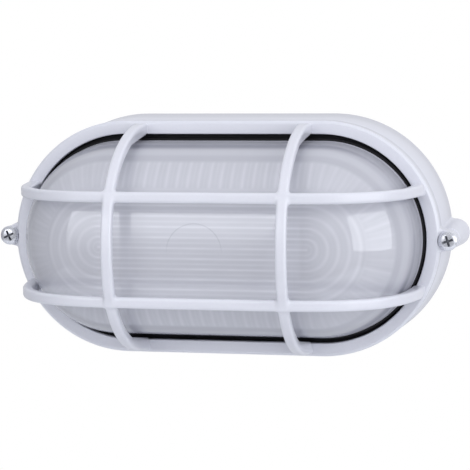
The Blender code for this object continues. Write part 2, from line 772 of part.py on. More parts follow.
def lamp_bulb(glass):
    tip_start = holder_front - cap_length
    cap_front = holder_front + seat_gap
    sphere = cap_front + bulb_length - bulb_radius
    neck_start = cap_front + bulb_neck_flare
    profile = [(contact_radius * contact_nose, tip_start), (contact_radius, tip_start + cap_tip_length),
               (cap_radius, tip_start + cap_shoulder_length), (cap_radius, cap_front),
               (bulb_neck_radius, neck_start)]
    neck_end = sphere - bulb_radius * bulb_join
    neck_radius_end = bulb_radius * math.sqrt(1 - bulb_join ** 2)
    for step in range(1, bulb_neck_steps + 1):
        share = step / bulb_neck_steps
        swell = share * share * (3 - 2 * share)
        profile.append((bulb_neck_radius + (neck_radius_end - bulb_neck_radius) * swell,
                        neck_start + (neck_end - neck_start) * share))
    for angle in bulb_angles:
        profile.append((bulb_radius * math.cos(math.radians(angle)),
                        sphere + bulb_radius * math.sin(math.radians(angle))))
    profile.append((0, sphere + bulb_radius))
    turned("lamp_bulb", profile, glass, round_steps, (0, -lamp_axis_out, 0), ALONG)


def lampholder_bracket(zinc, steel):
    back = holder_back - seat_gap - bracket_thickness
    front = holder_back - seat_gap
    foot_out = pad_top_out + seat_gap
    half = bracket_width / 2
    bracket = box("lampholder_bracket", (back, -lamp_axis_out - bracket_top, -half),
                  (front, -foot_out, half), zinc)
    foot = box("bracket_foot_plate", (back, -foot_out - bracket_thickness, -half),
               (back + bracket_foot, -foot_out, half), zinc)
    add(bracket, foot)
    for side_name, sign in (("upper", 1), ("lower", -1)):
        z = sign * holder_screw_spacing / 2
        hole = turned(f"bracket_hole_{side_name}",
                      [(small_hole_radius, back - cut_margin), (small_hole_radius, front + cut_margin)],
                      zinc, small_steps, (0, -lamp_axis_out, z), ALONG)
        cut(bracket, hole)
        pan_screw(f"holder_screw_{side_name}", small_head_radius, small_head_height, small_screw_radius,
                  small_screw_length, steel, (back - seat_gap, -lamp_axis_out, z), BACKWARD)
        z = sign * bracket_screw_spacing / 2
        cut(bracket, wall_cylinder(f"foot_hole_{side_name}", small_hole_radius, 0,
                                   foot_out + bracket_thickness + cut_margin, bracket_screw_x(), z, zinc))
        pan_screw(f"bracket_screw_{side_name}", small_head_radius, small_head_height, small_screw_radius,
                  bracket_thickness + pad_height, steel,
                  (bracket_screw_x(), -foot_out - bracket_thickness - seat_gap, z), ACROSS)
    return bracket


def terminal_block(nylon, steel):
    base_out = pad_top_out + seat_gap
    deck_out = base_out + block_height
    top_out = deck_out + tower_height
    half_x, half_z = block_length / 2, block_width / 2
    block = box("terminal_block", (block_place - half_x, -deck_out, -half_z),
                (block_place + half_x, -base_out, half_z), nylon)
    cut(block, wall_cylinder("block_fixing_hole", small_hole_radius, 0, deck_out + cut_margin,
                             block_place, 0, nylon))
    pan_screw("block_screw", small_head_radius, small_head_height, small_screw_radius,
              block_height + pad_height, steel, (block_place, -deck_out - seat_gap, 0), ACROSS)
    for pole_name, pole in (("live", 1), ("neutral", -1)):
        pole_z = pole * pole_spacing / 2
        add(block, box(f"pole_tower_{pole_name}",
                       (block_place - tower_length / 2, -top_out, pole_z - tower_width / 2),
                       (block_place + tower_length / 2, -deck_out + block_height / 2,
                        pole_z + tower_width / 2),
                       nylon))
        cut(block, turned(f"pole_wire_hole_{pole_name}",
                          [(wire_hole_radius, block_place - half_x - cut_margin),
                           (wire_hole_radius, block_place - half_x + wire_hole_depth)],
                          nylon, small_steps, (0, -wire_block_out(), pole * wire_spread), ALONG))
        for end_name, end in (("supply", 1), ("lamp", -1)):
            x = block_place + end * pole_screw_spacing / 2
            cut(block, wall_cylinder(f"pole_hole_{pole_name}_{end_name}", pole_screw_radius + seat_gap,
                                     top_out - pole_hole_depth, top_out + cut_margin, x, pole_z, nylon))
            turned(f"terminal_screw_{pole_name}_{end_name}",
                   [(pole_screw_radius, 0), (pole_screw_radius, pole_screw_height - pole_screw_chamfer),
                    (pole_screw_radius - pole_screw_chamfer, pole_screw_height)],
                   steel, small_steps, (x, -top_out + pole_hole_depth - seat_gap, pole_z), ACROSS)
    return block


def wire_block_out():
    return pad_top_out + seat_gap + block_height / 2


def earth_terminal(steel, brass):
    x, z = earth_place
    washer_out = pad_top_out + seat_gap
    hole = small_hole_radius
    mesh_tool = bmesh.new()
    rows = []
    for radius, out in ((hole, washer_out), (earth_washer_radius, washer_out),
                        (earth_washer_radius, washer_out + earth_washer_thickness),
                        (hole, washer_out + earth_washer_thickness)):
        rows.append([mesh_tool.verts.new((x + radius * math.cos(2 * math.pi * step / small_steps), -out,
                                          z + radius * math.sin(2 * math.pi * step / small_steps)))
                     for step in range(small_steps)])
    for index, before in enumerate(rows):
        after = rows[(index + 1) % len(rows)]
        for step in range(small_steps):
            following = (step + 1) % small_steps
            mesh_tool.faces.new((before[step], before[following], after[following], after[step]))
    finish_mesh("earth_washer", mesh_tool, brass)
    pan_screw("earth_screw", small_head_radius, small_head_height, small_screw_radius,
              earth_washer_thickness + pad_height, steel,
              (x, -washer_out - earth_washer_thickness - seat_gap, z), ACROSS)


def cable_grommet(rubber):
    # closed by a membrane that the fitter pierces
    neck = entry_hole_radius - seat_gap
    lip = entry_recess_radius - seat_gap
    rear_out = entry_recess_depth - seat_gap
    front_out = entry_recess_depth + floor_thickness + seat_gap
    middle_out = (rear_out + front_out) / 2
    bore = grommet_bore_radius
    profile = [(bore, middle_out - grommet_membrane / 2), (bore, rear_out - grommet_lip),
               (lip, rear_out - grommet_lip), (lip, rear_out), (neck, rear_out), (neck, front_out),
               (lip, front_out), (lip - grommet_lip_draft, front_out + grommet_lip),
               (bore, front_out + grommet_lip), (bore, middle_out + grommet_membrane / 2)]
    turned("cable_grommet", profile, rubber, round_steps, (entry_place, 0, 0), ACROSS)


def wire_route(side):
    # from the block, down to the tray's floor, along under the lamp and up into the holder
    block_face = block_place - block_length / 2
    holder_face = lamp_axis_out - math.sqrt(holder_radius ** 2 - wire_spread ** 2)
    z = side * wire_spread
    run_z = side * wire_run_spread
    return [(block_face + wire_hole_depth - seat_gap, wire_block_out(), z),
            (block_face - wire_lead, wire_block_out(), z),
            (block_face - wire_drop, wire_floor_out, z),
            (wire_run_reach, wire_floor_out, run_z), (-wire_run_reach, wire_floor_out, run_z),
            (wire_holder_place + wire_run_reach, wire_floor_out, z),
            (wire_holder_place + wire_turn, wire_floor_out + wire_lead, z),
            (wire_holder_place, wire_floor_out + 2 * wire_turn, z),
            (wire_holder_place, holder_face - wire_radius, z),
            (wire_holder_place, holder_face + wire_hole_depth / 2, z)]


def smooth_route(points, count):
    # Catmull-Rom curve through the points
    points = [Vector(point) for point in points]
    points = [points[0] * 2 - points[1], *points, points[-1] * 2 - points[-2]]
    dense = []
    for start in range(1, len(points) - 2):
        before, here, there, after = points[start - 1:start + 3]
        squared = 2 * before - 5 * here + 4 * there - after
        cubed = 3 * here - before - 3 * there + after
        for step in range(wire_samples):
            t = step / wire_samples
            dense.append((2 * here + (there - before) * t + squared * t ** 2 + cubed * t ** 3) / 2)
    dense.append(points[-2])
    return even_path(dense, count)


def inner_wire(name, side, finish):
    curve = bpy.data.curves.new(name, "CURVE")
    curve.dimensions = "3D"
    curve.bevel_depth = wire_radius
    curve.bevel_resolution = 1
    curve.use_fill_caps = True
    route = smooth_route(wire_route(side), wire_points)
    spline = curve.splines.new("POLY")
    spline.points.add(len(route) - 1)
    for knot, (x, out, z) in zip(spline.points, route):
        knot.co = (x, -out, z, 1)
    curve.materials.append(finish)
    wire = bpy.data.objects.new(name, curve)
    bpy.context.scene.collection.objects.link(wire)
    return wire


def main():
    clear_scene()
    paint = material("white powder coat", (0.80, 0.82, 0.86), 0.35)
    glass = material("pressed glass", (0.78, 0.80, 0.83), 0.12, transmission=0.6)
    rubber = material("black rubber", (0.015, 0.015, 0.017), 0.55)
    chrome = material("plated steel", (0.75, 0.76, 0.78), 0.18, 1.0)
    ceramic = material("glazed ceramic", (0.86, 0.84, 0.78), 0.25)
    brass = material("nickelled brass", (0.70, 0.62, 0.42), 0.3, 1.0)
    zinc = material("zinc plated strip", (0.62, 0.63, 0.65), 0.35, 1.0)
    opal = material("opal lamp glass", (0.90, 0.89, 0.86), 0.3)
    nylon = material("natural nylon", (0.84, 0.83, 0.78), 0.45)
    brown = material("brown sleeving", (0.18, 0.08, 0.04), 0.6)
    blue = material("blue sleeving", (0.04, 0.13, 0.42), 0.6)

    body_casting(paint)
    cage_frame(paint)
    glass_diffuser(glass)
    glass_gasket(rubber)
    cover_screws(chrome)
    lampholder(ceramic, brass)
    lampholder_bracket(zinc, chrome)
    lamp_bulb(opal)
    terminal_block(nylon, chrome)
    earth_terminal(chrome, brass)
    cable_grommet(rubber)
    inner_wire("wire_live", 1, brown)
    inner_wire("wire_neutral", -1, blue)


main()
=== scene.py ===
# Dresses the oval caged bulkhead light: fine casting, ribbed glass, finishes, studio light and camera.
# The wall is the plane Y = 0, the light stands out of it towards -Y, Z is up. Shapes are worked out in
# millimetres as (x, out, z), where out is the distance from the wall, and turned into metres once.

import math
import re

import bmesh
import bpy
import numpy as np
from mathutils import Matrix, Vector


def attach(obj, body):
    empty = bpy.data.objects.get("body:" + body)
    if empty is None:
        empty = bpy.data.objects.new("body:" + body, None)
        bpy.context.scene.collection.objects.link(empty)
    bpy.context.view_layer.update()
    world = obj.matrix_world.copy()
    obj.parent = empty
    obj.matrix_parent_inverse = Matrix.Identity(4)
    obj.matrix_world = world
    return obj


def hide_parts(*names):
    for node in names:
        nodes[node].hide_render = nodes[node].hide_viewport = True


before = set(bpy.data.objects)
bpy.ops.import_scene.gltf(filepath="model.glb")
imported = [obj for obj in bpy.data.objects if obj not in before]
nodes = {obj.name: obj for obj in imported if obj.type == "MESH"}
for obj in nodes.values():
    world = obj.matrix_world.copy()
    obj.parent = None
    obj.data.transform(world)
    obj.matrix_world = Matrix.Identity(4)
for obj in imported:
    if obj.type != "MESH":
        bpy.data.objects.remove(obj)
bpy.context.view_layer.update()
scene = bpy.context.scene
mm = 0.001

# the oval that everything follows, the same sizes as the casting
oval = {
    "halfStraight": 49.3,
    "ringEdge": 58.2,
    "windowEdge": 51.6,
    "skirtInside": 56.0,
    "skirtBack": 34.0,
    "plateBack": 43.0,
    "ringFront": 46.0,
    "screwReach": 111.2,
    "spotOut": 44.5,
}


# mesh helpers

def placed(name, data):
    made = bpy.data.objects.new(name, data)
    scene.collection.objects.link(made)
    return made


def meshObject(name, verts, faces, weld=False):
    # verts in millimetres as (x, out, z), or rows of them
    mesh = bpy.data.meshes.new(name)
    points = np.reshape(np.asarray(verts, float), (-1, 3)) * mm
    points = np.column_stack((points[:, 0], -points[:, 1], points[:, 2]))
    mesh.from_pydata(points.tolist(), [], [tuple(map(int, face)) for face in faces])
    bench = bmesh.new()
    bench.from_mesh(mesh)
    if weld:
        bmesh.ops.remove_doubles(bench, verts=bench.verts, dist=1e-6)
    bmesh.ops.recalc_face_normals(bench, faces=bench.faces)
    bench.to_mesh(mesh)
    bench.free()
    return placed(name, mesh)


def smoothTo(piece, sharp):
    piece.data.shade_smooth()
    piece.data.set_sharp_from_angle(angle=math.radians(sharp))


def makePiece(name, verts, faces, finish, slotName, standsFor, sharp):
    piece = meshObject(name, verts, faces, weld=True)
    smoothTo(piece, sharp)
    piece.data.materials.append(finish)
    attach(piece, "root")
    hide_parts(*standsFor)
    return piece


def takeIn(piece, patches):
    # joins the patches' meshes to the piece's own
    bench = bmesh.new()
    bench.from_mesh(piece.data)
    for patch in patches:
        bench.from_mesh(patch.data)
        bpy.data.objects.remove(patch)
    bench.to_mesh(piece.data)
    bench.free()


def ovalStations(perEnd, perSide):
    # one station after another round the oval: place along X in half straights, and the outward direction
    end = [math.radians(a) for a in np.linspace(-90, 90, perEnd, endpoint=False)]
    half = [(1, math.cos(a), math.sin(a)) for a in end]
    half += [(s, 0, 1) for s in np.linspace(1, -1, perSide, endpoint=False)]
    return np.concatenate((half, -np.array(half)))


def ovalRow(stations, radius, straight, out):
    return np.column_stack((stations[:, 0] * straight + stations[:, 1] * radius,
                            np.broadcast_to(out, len(stations)), stations[:, 2] * radius))


def ovalSweep(section, perEnd, perSide, closed=False):
    # a section of (radius, halfStraight, out) or (radius, out), swept round the oval
    profile = [row if len(row) == 3 else (row[0], oval["halfStraight"], row[1]) for row in section]
    stations = ovalStations(perEnd, perSide)
    rows = [ovalRow(stations, *row) for row in profile]
    return rows, rowFaces(len(section), len(stations), closed)


def rowFaces(rowCount, perRow, closed=False, start=0):
    faces = []
    last = rowCount if closed else rowCount - 1
    for row in range(last):
        here, there = start + row * perRow, start + ((row + 1) % rowCount) * perRow
        for step in range(perRow):
            after = (step + 1) % perRow
            faces.append((here + step, here + after, there + after, there + step))
    return faces


def rounding(radius, centre, startAngle, endAngle, steps=5):
    # points of a rounded corner in (radial, out), angles in degrees from the outward radial direction
    angles = np.radians(np.linspace(startAngle, endAngle, steps + 1))
    return [(centre[0] + radius * math.cos(a), centre[1] + radius * math.sin(a)) for a in angles]


def turned(profile, steps, axes, place):
    # profile rows of (radius, along), turned, then its axes put in order and moved
    angles = np.linspace(0, 2 * math.pi, steps, endpoint=False)
    rows = [np.column_stack((radius * np.cos(angles), radius * np.sin(angles), np.full(steps, along)))
            for radius, along in profile]
    return np.concatenate(rows)[:, axes] + place


def cutWith(piece, tools, operation="DIFFERENCE"):
    # applies exact Booleans with throwaway tools
    for tool in tools:
        change = piece.modifiers.new("change", "BOOLEAN")
        change.operation = operation
        change.solver = "EXACT"
        change.object = tool
    graph = bpy.context.evaluated_depsgraph_get()
    result = bpy.data.meshes.new_from_object(piece.evaluated_get(graph))
    piece.modifiers.clear()
    old = piece.data
    piece.data = result
    bpy.data.meshes.remove(old)
    for tool in tools:
        bpy.data.objects.remove(tool)


def wallTool(x, z, profile, steps=48):
    # a turned tool square to the wall, profile rows of (radius, out)
    verts = turned(profile, steps, [0, 2, 1], (x, 0, z))
    count = len(profile)
    faces = rowFaces(count, steps) + [list(range(steps)), list(range((count - 1) * steps, count * steps))]
    return meshObject("tool", verts, faces)


# fields: distances in millimetres, negative inside

def smoothMin(a, b, blend):
    share = np.clip(0.5 + 0.5 * (b - a) / blend, 0, 1)
    return b + (a - b) * share - blend * share * (1 - share)


def smoothMax(a, b, blend):
    return -smoothMin(-a, -b, blend)


def roundedCorner(overA, overB, corner):
    # the distances past two faces, each face set back by the corner's radius
    outside = np.hypot(np.maximum(overA, 0), np.maximum(overB, 0))
    return outside + np.minimum(np.maximum(overA, overB), 0) - corner


def boxField(a, b, halfA, halfB, corner):
    return roundedCorner(np.abs(a) - (halfA - corner), np.abs(b) - (halfB - corner), corner)


def spanField(a, b, spanA, spanB, corner):
    # a rounded box given by where it starts and ends
    (lowA, highA), (lowB, highB) = spanA, spanB
    return boxField(a - (highA + lowA) / 2, b - (highB + lowB) / 2,
                    (highA - lowA) / 2, (highB - lowB) / 2, corner)


def ovalField(x, z):
    return np.hypot(np.maximum(np.abs(x) - oval["halfStraight"], 0), z)


def netMesh(field, low, high, step, mirror=()):
    # surface nets over a grid, then every vertex is moved onto the field's zero surface
    axes = [np.arange(round(low[i] / step), round(high[i] / step) + 1) * step for i in range(3)]
    whole = [axis if i not in mirror else axis[axis >= 0] for i, axis in enumerate(axes)]
    grid = np.meshgrid(*whole, indexing="ij", sparse=True)
    values = np.broadcast_to(field(*grid), [len(axis) for axis in whole])
    for i in mirror:
        values = np.concatenate((np.flip(values, i).take(range(len(whole[i]) - 1), i), values), i)
        whole[i] = np.concatenate((-whole[i][:0:-1], whole[i]))
    inside = values < 0
    corners = [(i, j, k) for i in (0, 1) for j in (0, 1) for k in (0, 1)]
    shape = [n - 1 for n in values.shape]

    def corner(array, offset):
        return array[tuple(slice(o, o + n) for o, n in zip(offset, shape))]

    total = sum(corner(inside, c).astype(np.int8) for c in corners)
    cells = np.argwhere((total > 0) & (total < 8))
    number = np.full(shape, -1, np.int64)
    number[tuple(cells.T)] = np.arange(len(cells))
    amounts = {c: values[tuple((cells + c).T)] for c in corners}
    places = np.zeros((len(cells), 3))
    counts = np.zeros(len(cells))
    for first in corners:
        for axis in range(3):
            if first[axis]:
                continue
            second = tuple(o + (i == axis) for i, o in enumerate(first))
            a, b = amounts[first], amounts[second]
            crossing = (a < 0) != (b < 0)
            share = np.where(crossing, a / np.where(a == b, 1, a - b), 0)
            spot = np.tile(np.array(first, float), (len(cells), 1))
            spot[:, axis] += share
            places += spot * crossing[:, None]
            counts += crossing
    start = np.array([axis[0] for axis in whole])
    verts = start + (cells + places / counts[:, None]) * step
    for _ in range(3):
        here = field(*verts.T)
        nudge = 0.02
        slope = np.array([(field(*(verts + nudge * np.eye(3)[i]).T)
                           - field(*(verts - nudge * np.eye(3)[i]).T)) / (2 * nudge) for i in range(3)]).T
        square = np.maximum((slope ** 2).sum(1), 0.05)
        move = np.clip(here / square, -step, step)[:, None] * slope
        verts = verts - move
    faces = []
    for axis in range(3):
        one, two = [i for i in range(3) if i != axis]
        edges = np.argwhere(np.diff(inside, axis=axis))
        for side in (one, two):
            edges = edges[(edges[:, side] > 0) & (edges[:, side] < values.shape[side] - 1)]
        flip = inside[tuple(edges.T)]
        if axis == 1:
            flip = ~flip
        stepOne, stepTwo = np.eye(3, dtype=int)[one], np.eye(3, dtype=int)[two]
        quad = np.array([number[tuple((edges - stepOne * a - stepTwo * b).T)]
                         for a, b in ((1, 1), (0, 1), (0, 0), (1, 0))]).T
        quad[~flip] = quad[~flip][:, ::-1]
        faces.append(quad)
    return verts, np.concatenate(faces)


# shader helpers

class Signal:
    # a node's socket that can be used in plain expressions
    def __init__(self, finish, socket):
        self.finish = finish
        self.socket = socket

    def maths(self, operation, *values):
        return self.finish.node("ShaderNodeMath", {"operation": operation}, dict(enumerate(values)))

    def __add__(self, other):
        return self.maths("ADD", self, other)

    def __sub__(self, other):
        return self.maths("SUBTRACT", self, other)

    def __rsub__(self, other):
        return self.maths("SUBTRACT", other, self)

    def __mul__(self, other):
        return self.maths("MULTIPLY", self, other)

    def __pow__(self, other):
        return self.maths("POWER", self, other)

    def within(self, low, high):
        # the value kept between two limits
        return self.maths("MINIMUM", self.maths("MAXIMUM", self, low), high)

    def absolute(self):
        return self.maths("ABSOLUTE", self)

    __radd__ = __add__
    __rmul__ = __mul__


class NodeBench:
    # every node but the maths ones comes from the one method
    def __init__(self, owner, endKind):
        self.owner = owner
        owner.use_nodes = True
        self.tree = owner.node_tree
        self.tree.nodes.clear()
        self.end = self.tree.nodes.new(endKind)

    def node(self, kind, settings=None, inputs=None, output=0):
        made = self.tree.nodes.new(kind)
        for key, value in (settings or {}).items():
            if key == "stops":
                while len(made.color_ramp.elements) < len(value):
                    made.color_ramp.elements.new(0.5)
                for element, (place, colour) in zip(made.color_ramp.elements, value):
                    element.position = place
                    element.color = (*colour, 1)
            else:
                setattr(made, key, value)
        for key, value in (inputs or {}).items():
            self.feed(made.inputs[key], value)
        return Signal(self, made.outputs[output])

    def feed(self, socket, value):
        if isinstance(value, Signal):
            self.tree.links.new(value.socket, socket)
        elif isinstance(value, tuple) and socket.type == "RGBA":
            socket.default_value = (*value, 1)
        else:
            socket.default_value = value

    def close(self, shader):
        self.tree.links.new(shader.socket, self.end.inputs["Surface"])
        return self.owner


class Finish(NodeBench):
    # a material for one kind of surface
    def __init__(self, name):
        super().__init__(bpy.data.materials.new(name), "ShaderNodeOutputMaterial")

    def noise(self, scale, detail, roughness, place):
        return self.node("ShaderNodeTexNoise", None,
                         {"Vector": place, "Scale": scale, "Detail": detail, "Roughness": roughness})

    def place(self):
        return self.node("ShaderNodeTexCoord", output=3)

    def mixColour(self, share, one, two):
        return self.node("ShaderNodeMix", {"data_type": "RGBA"}, {0: share, 6: one, 7: two}, output=2)

    def ramp(self, signal, stops):
        return self.node("ShaderNodeValToRGB", {"stops": stops}, {0: signal})

    def bump(self, height, strength, distance):
        return self.node("ShaderNodeBump", None,
                         {"Height": height, "Strength": strength, "Distance": distance})

    def surface(self, **sockets):
        names = {key: re.sub("(?<=[a-z])(?=[A-Z])|(?<=IOR)(?=[A-Z])", " ", key[0].upper() + key[1:])
                 .replace("Ior", "IOR") for key in sockets}
        return self.node("ShaderNodeBsdfPrincipled", None,
                         {names[key]: value for key, value in sockets.items()})


# finishes

paintLook = {
    "colour": (0.735, 0.745, 0.80),
    "hollowColour": (0.67, 0.68, 0.745),
    "roughness": 0.36,
    "cloudScale": 60,
    "spotScale": 950,
    "peelScale": 620,
    "peelDepth": 0.00006,
    "fleckScale": 2600,
    "coat": 0.5,
    "coatRoughness": 0.10,
}


def whitePowderCoat():
    finish = Finish("white powder coat")
    place = finish.place()
    spots = finish.noise(paintLook["spotScale"], 2, 0.6, place)
    cloud = finish.noise(paintLook["cloudScale"], 3, 0.6, place) * 0.4 + spots * 0.6
    peel = finish.noise(paintLook["peelScale"], 2, 0.45, place)
    fleck = finish.noise(paintLook["fleckScale"], 1, 0.5, place)
    colour = finish.mixColour(cloud, paintLook["hollowColour"], paintLook["colour"])
    rough = paintLook["roughness"] + (cloud - 0.5) * 0.08 + (fleck - 0.5) * 0.06
    normal = finish.bump(peel, 0.35, paintLook["peelDepth"])
    return finish.close(finish.surface(baseColor=colour, roughness=rough, normal=normal,
                                       coatWeight=paintLook["coat"],
                                       coatRoughness=paintLook["coatRoughness"]))


glassRibs = {
    "halfStraight": 50.2,
    "crownEdge": 27.5,
    "fluteEdge": 40.3,
    "crownPitch": 5.0,
    "flutePitch": 5.284,
    "fluteAngle": 9.0,
    # how light the glass is at each radius, as painted light and shade: dark bands at the foot paint the dark
    # gasket seen through it, the lighter band inside them is a painted reflection of the bright room behind
    # and above, and a darker stripe lies over the bead
    "radii": (0, 24, 26.5, 28.5, 30, 39.0, 40.4, 41.9,
              43.1, 44.5, 45.7, 46.8, 47.1, 47.4, 47.7, 50.0),
    "lightAndShade": (0.77, 0.77, 0.72, 0.70, 0.72, 0.70, 0.48, 0.48,
              0.60, 0.56, 0.34, 0.34, 0.50, 0.50, 0.30, 0.30),
    "rampEnd": 54,
    "patchScale": 55,
    # the flute and crown strengths are for the painted highlight lines along the ribs, the streak ones for
    # random streaks
    "fluteHighlight": 0.10,
    "fluteStreak": 0.24,
    "crownHighlight": 0.13,
    "streakTone": 0.18,
    # the grazing values place a painted shade on the foot
    "grazingPlace": (46.2, 1.5),
    "grazingStart": 0.62,
    "grazingShade": 0.42,
    "markPlace": (-3.5, -1.7),
    "markRadius": 13.3,
    "markSharpness": 2.4,
    "markTone": 0.3,
}
glassLook = {
    "faceRoughness": 0.03,
    "mirrorBend": 1.75,
    "mirrorStart": 52,
    "mirrorLeast": 0.25,
    "veil": 0.62,
    "shadeColour": (0.375, 0.38, 0.44),
    "lightColour": (0.935, 0.942, 1.0),
    "bodyRoughness": 0.42,
    "seeThrough": 0.14,
    "bend": 1.12,
}


def reedHighlights(phase, narrow, between=0.45):
    # painted highlight lines where two reeds meet, others half way between, and painted shade on the reeds
    # between them
    main = (phase.maths("COSINE", phase * (2 * math.pi)) * 0.5 + 0.5) ** narrow
    half = (phase.maths("COSINE", phase * (4 * math.pi)) * 0.5 + 0.5) ** 2.2
    return main + half * between - 0.45


def ribToneAndPaintedLight(finish, place):
    # how light the glass looks over its ribs, from the place in millimetres: painted light and shade by
    # radius, painted highlight lines along the reeds, a painted shade on the foot, random streaks and a thin
    # dark ring
    x, z = [finish.node("ShaderNodeSeparateXYZ", None, {0: place}, output=i) * 1000 for i in (0, 2)]
    straight = glassRibs["halfStraight"]
    beyond = x.maths("MAXIMUM", x.absolute() - straight, 0.0)
    reach = x.maths("SQRT", beyond * beyond + z * z)
    crownMask = ((glassRibs["crownEdge"] - reach) * 1.3).within(0.0, 1.0)
    fluteIn = reach.maths("MINIMUM", reach - glassRibs["crownEdge"], (glassRibs["fluteEdge"] - reach) * 0.7)
    fluteMask = fluteIn.within(0.0, 1.0)
    onSide = x.within(-straight, straight)
    turn = x.maths("ARCTAN2", z.absolute(), beyond)
    flutePhase = turn * (180 / math.pi / glassRibs["fluteAngle"]) \
        + (straight - onSide) * (1 / glassRibs["flutePitch"])
    rampEnd = glassRibs["rampEnd"]
    # painted light and shade by radius
    levels = zip(glassRibs["radii"], glassRibs["lightAndShade"])
    tone = finish.ramp(reach * (1 / rampEnd), [(radius / rampEnd, (level,) * 3) for radius, level in levels])
    patchy = finish.noise(glassRibs["patchScale"], 2, 0.5, place) * 1.6 + 0.2
    ending = reach.maths("MINIMUM", beyond * 0.25, 1.0)
    # painted highlight lines along the flutes
    flute = reedHighlights(flutePhase, 2.5) * fluteMask * patchy * (1 - ending * 0.45)
    tone = tone + flute * glassRibs["fluteHighlight"]
    drawn = finish.node("ShaderNodeCombineXYZ", None, {0: flutePhase, 1: reach * 0.02, 2: turn})
    streak = finish.noise(1.6, 3, 0.65, drawn) - 0.5
    tone = tone + streak * fluteMask * glassRibs["fluteStreak"]
    # painted highlight rings on the crown ribs
    crown = reedHighlights(reach * (1 / glassRibs["crownPitch"]), 6 - ending * 3.5, 0.9 - ending * 0.75)
    tone = tone + crown * crownMask * patchy * glassRibs["crownHighlight"]
    drawn = finish.node("ShaderNodeVectorMath", {"operation": "MULTIPLY"}, {0: place, 1: (0.1, 0.0, 1.0)})
    streak = finish.noise(380, 3, 0.7, drawn) - 0.5
    tone = tone + streak * (1 - ending) * crownMask * glassRibs["streakTone"]
    # painted shade: the foot is darkened where it is seen at a low angle, in place of the dark gasket seen
    # through it
    middle, half = glassRibs["grazingPlace"]
    foot = reach.maths("MAXIMUM", 1 - (reach - middle).absolute() * (1 / half), 0.0) ** 0.6
    facing = finish.node("ShaderNodeLayerWeight", None, {"Blend": 0.5}, output=1)
    low = ((facing - glassRibs["grazingStart"]) * 9).within(0.0, 1.0)
    tone = tone - foot * low * glassRibs["grazingShade"]
    # a thin dark ring in the crown, which fades out downwards
    markX, markZ = x - glassRibs["markPlace"][0], z - glassRibs["markPlace"][1]
    fromMark = x.maths("SQRT", markX * markX + markZ * markZ) - glassRibs["markRadius"]
    mark = x.maths("MAXIMUM", 1 - fromMark.absolute() * glassRibs["markSharpness"], 0.0)
    upper = (markZ * 0.12 + 0.2).within(0.0, 1.0)
    return tone - mark * upper * glassRibs["markTone"]


def glassFace():
    # the smooth outside: sharp reflections over a veil coloured with the ribs' painted light and shade
    finish = Finish("glass face")
    place = finish.place()
    wave = finish.noise(38, 1, 0.4, place)
    cloud = finish.noise(30, 3, 0.6, place)
    normal = finish.bump(wave, 0.25, 0.0004)
    mirror = finish.node("ShaderNodeFresnel", None, {"IOR": glassLook["mirrorBend"], "Normal": normal})
    height = finish.node("ShaderNodeSeparateXYZ", None, {0: place}, output=1) * -1000
    # the foot sees the ring beside it instead of the room
    mirror = mirror * ((height - glassLook["mirrorStart"]) * 0.05).within(glassLook["mirrorLeast"], 1.0)
    rough = glassLook["faceRoughness"] + (wave - 0.5) * 0.02
    # the veil's colour is painted light and shade with a random cloud
    share = ribToneAndPaintedLight(finish, place) + (cloud - 0.5) * 0.09
    colour = finish.mixColour(share, glassLook["shadeColour"], glassLook["lightColour"])
    veil = finish.surface(baseColor=colour, roughness=0.5 + (cloud - 0.5) * 0.1, alpha=glassLook["veil"],
                          specularIORLevel=0.0)
    gloss = finish.surface(baseColor=(0.96, 0.98, 1.0), metallic=1.0, roughness=rough, normal=normal)
    return finish.close(finish.node("ShaderNodeMixShader", None, {0: mirror, 1: veil, 2: gloss}))


def pressedGlass():
    # the ribbed inside, which scatters the light
    finish = Finish("pressed glass")
    place = finish.place()
    cloud = finish.noise(45, 3, 0.6, place)
    grain = finish.noise(1400, 2, 0.5, place)
    # the same painted light and shade, with a random cloud and grain
    share = ribToneAndPaintedLight(finish, place) + (cloud - 0.5) * 0.10 + (grain - 0.5) * 0.05
    colour = finish.mixColour(share, glassLook["shadeColour"], glassLook["lightColour"])
    rough = glassLook["bodyRoughness"] + (cloud - 0.5) * 0.12
    normal = finish.bump(grain, 0.3, 0.00008)
    return finish.close(finish.surface(baseColor=colour, roughness=rough, normal=normal,
                                       transmissionWeight=glassLook["seeThrough"], ior=glassLook["bend"]))


def plain(name, colour, shade, roughness, metallic=0.0, scale=400, depth=0.00004, **more):
    # cloudy colour and roughness with a fine grain
    finish = Finish(name)
    place = finish.place()
    cloud = finish.noise(scale * 0.2, 3, 0.6, place)
    grain = finish.noise(scale * 4, 2, 0.5, place)
    tone = finish.mixColour(cloud, shade, colour)
    rough = roughness + (cloud - 0.5) * 0.16 + (grain - 0.5) * 0.08
    normal = finish.bump(grain, 0.4, depth)
    return finish.close(finish.surface(baseColor=tone, roughness=rough, metallic=metallic,
                                       normal=normal, **more))


paint = whitePowderCoat()
face = glassFace()
pressed = pressedGlass()
# name, colour, darker colour, roughness, metal
rubber = plain("black rubber", (0.012, 0.012, 0.014), (0.006, 0.006, 0.007), 0.5, scale=700,
               specularIORLevel=0.22)
plated = plain("plated screw", (0.88, 0.89, 0.93), (0.74, 0.76, 0.81), 0.27, 0.75, scale=900, depth=0.00001)
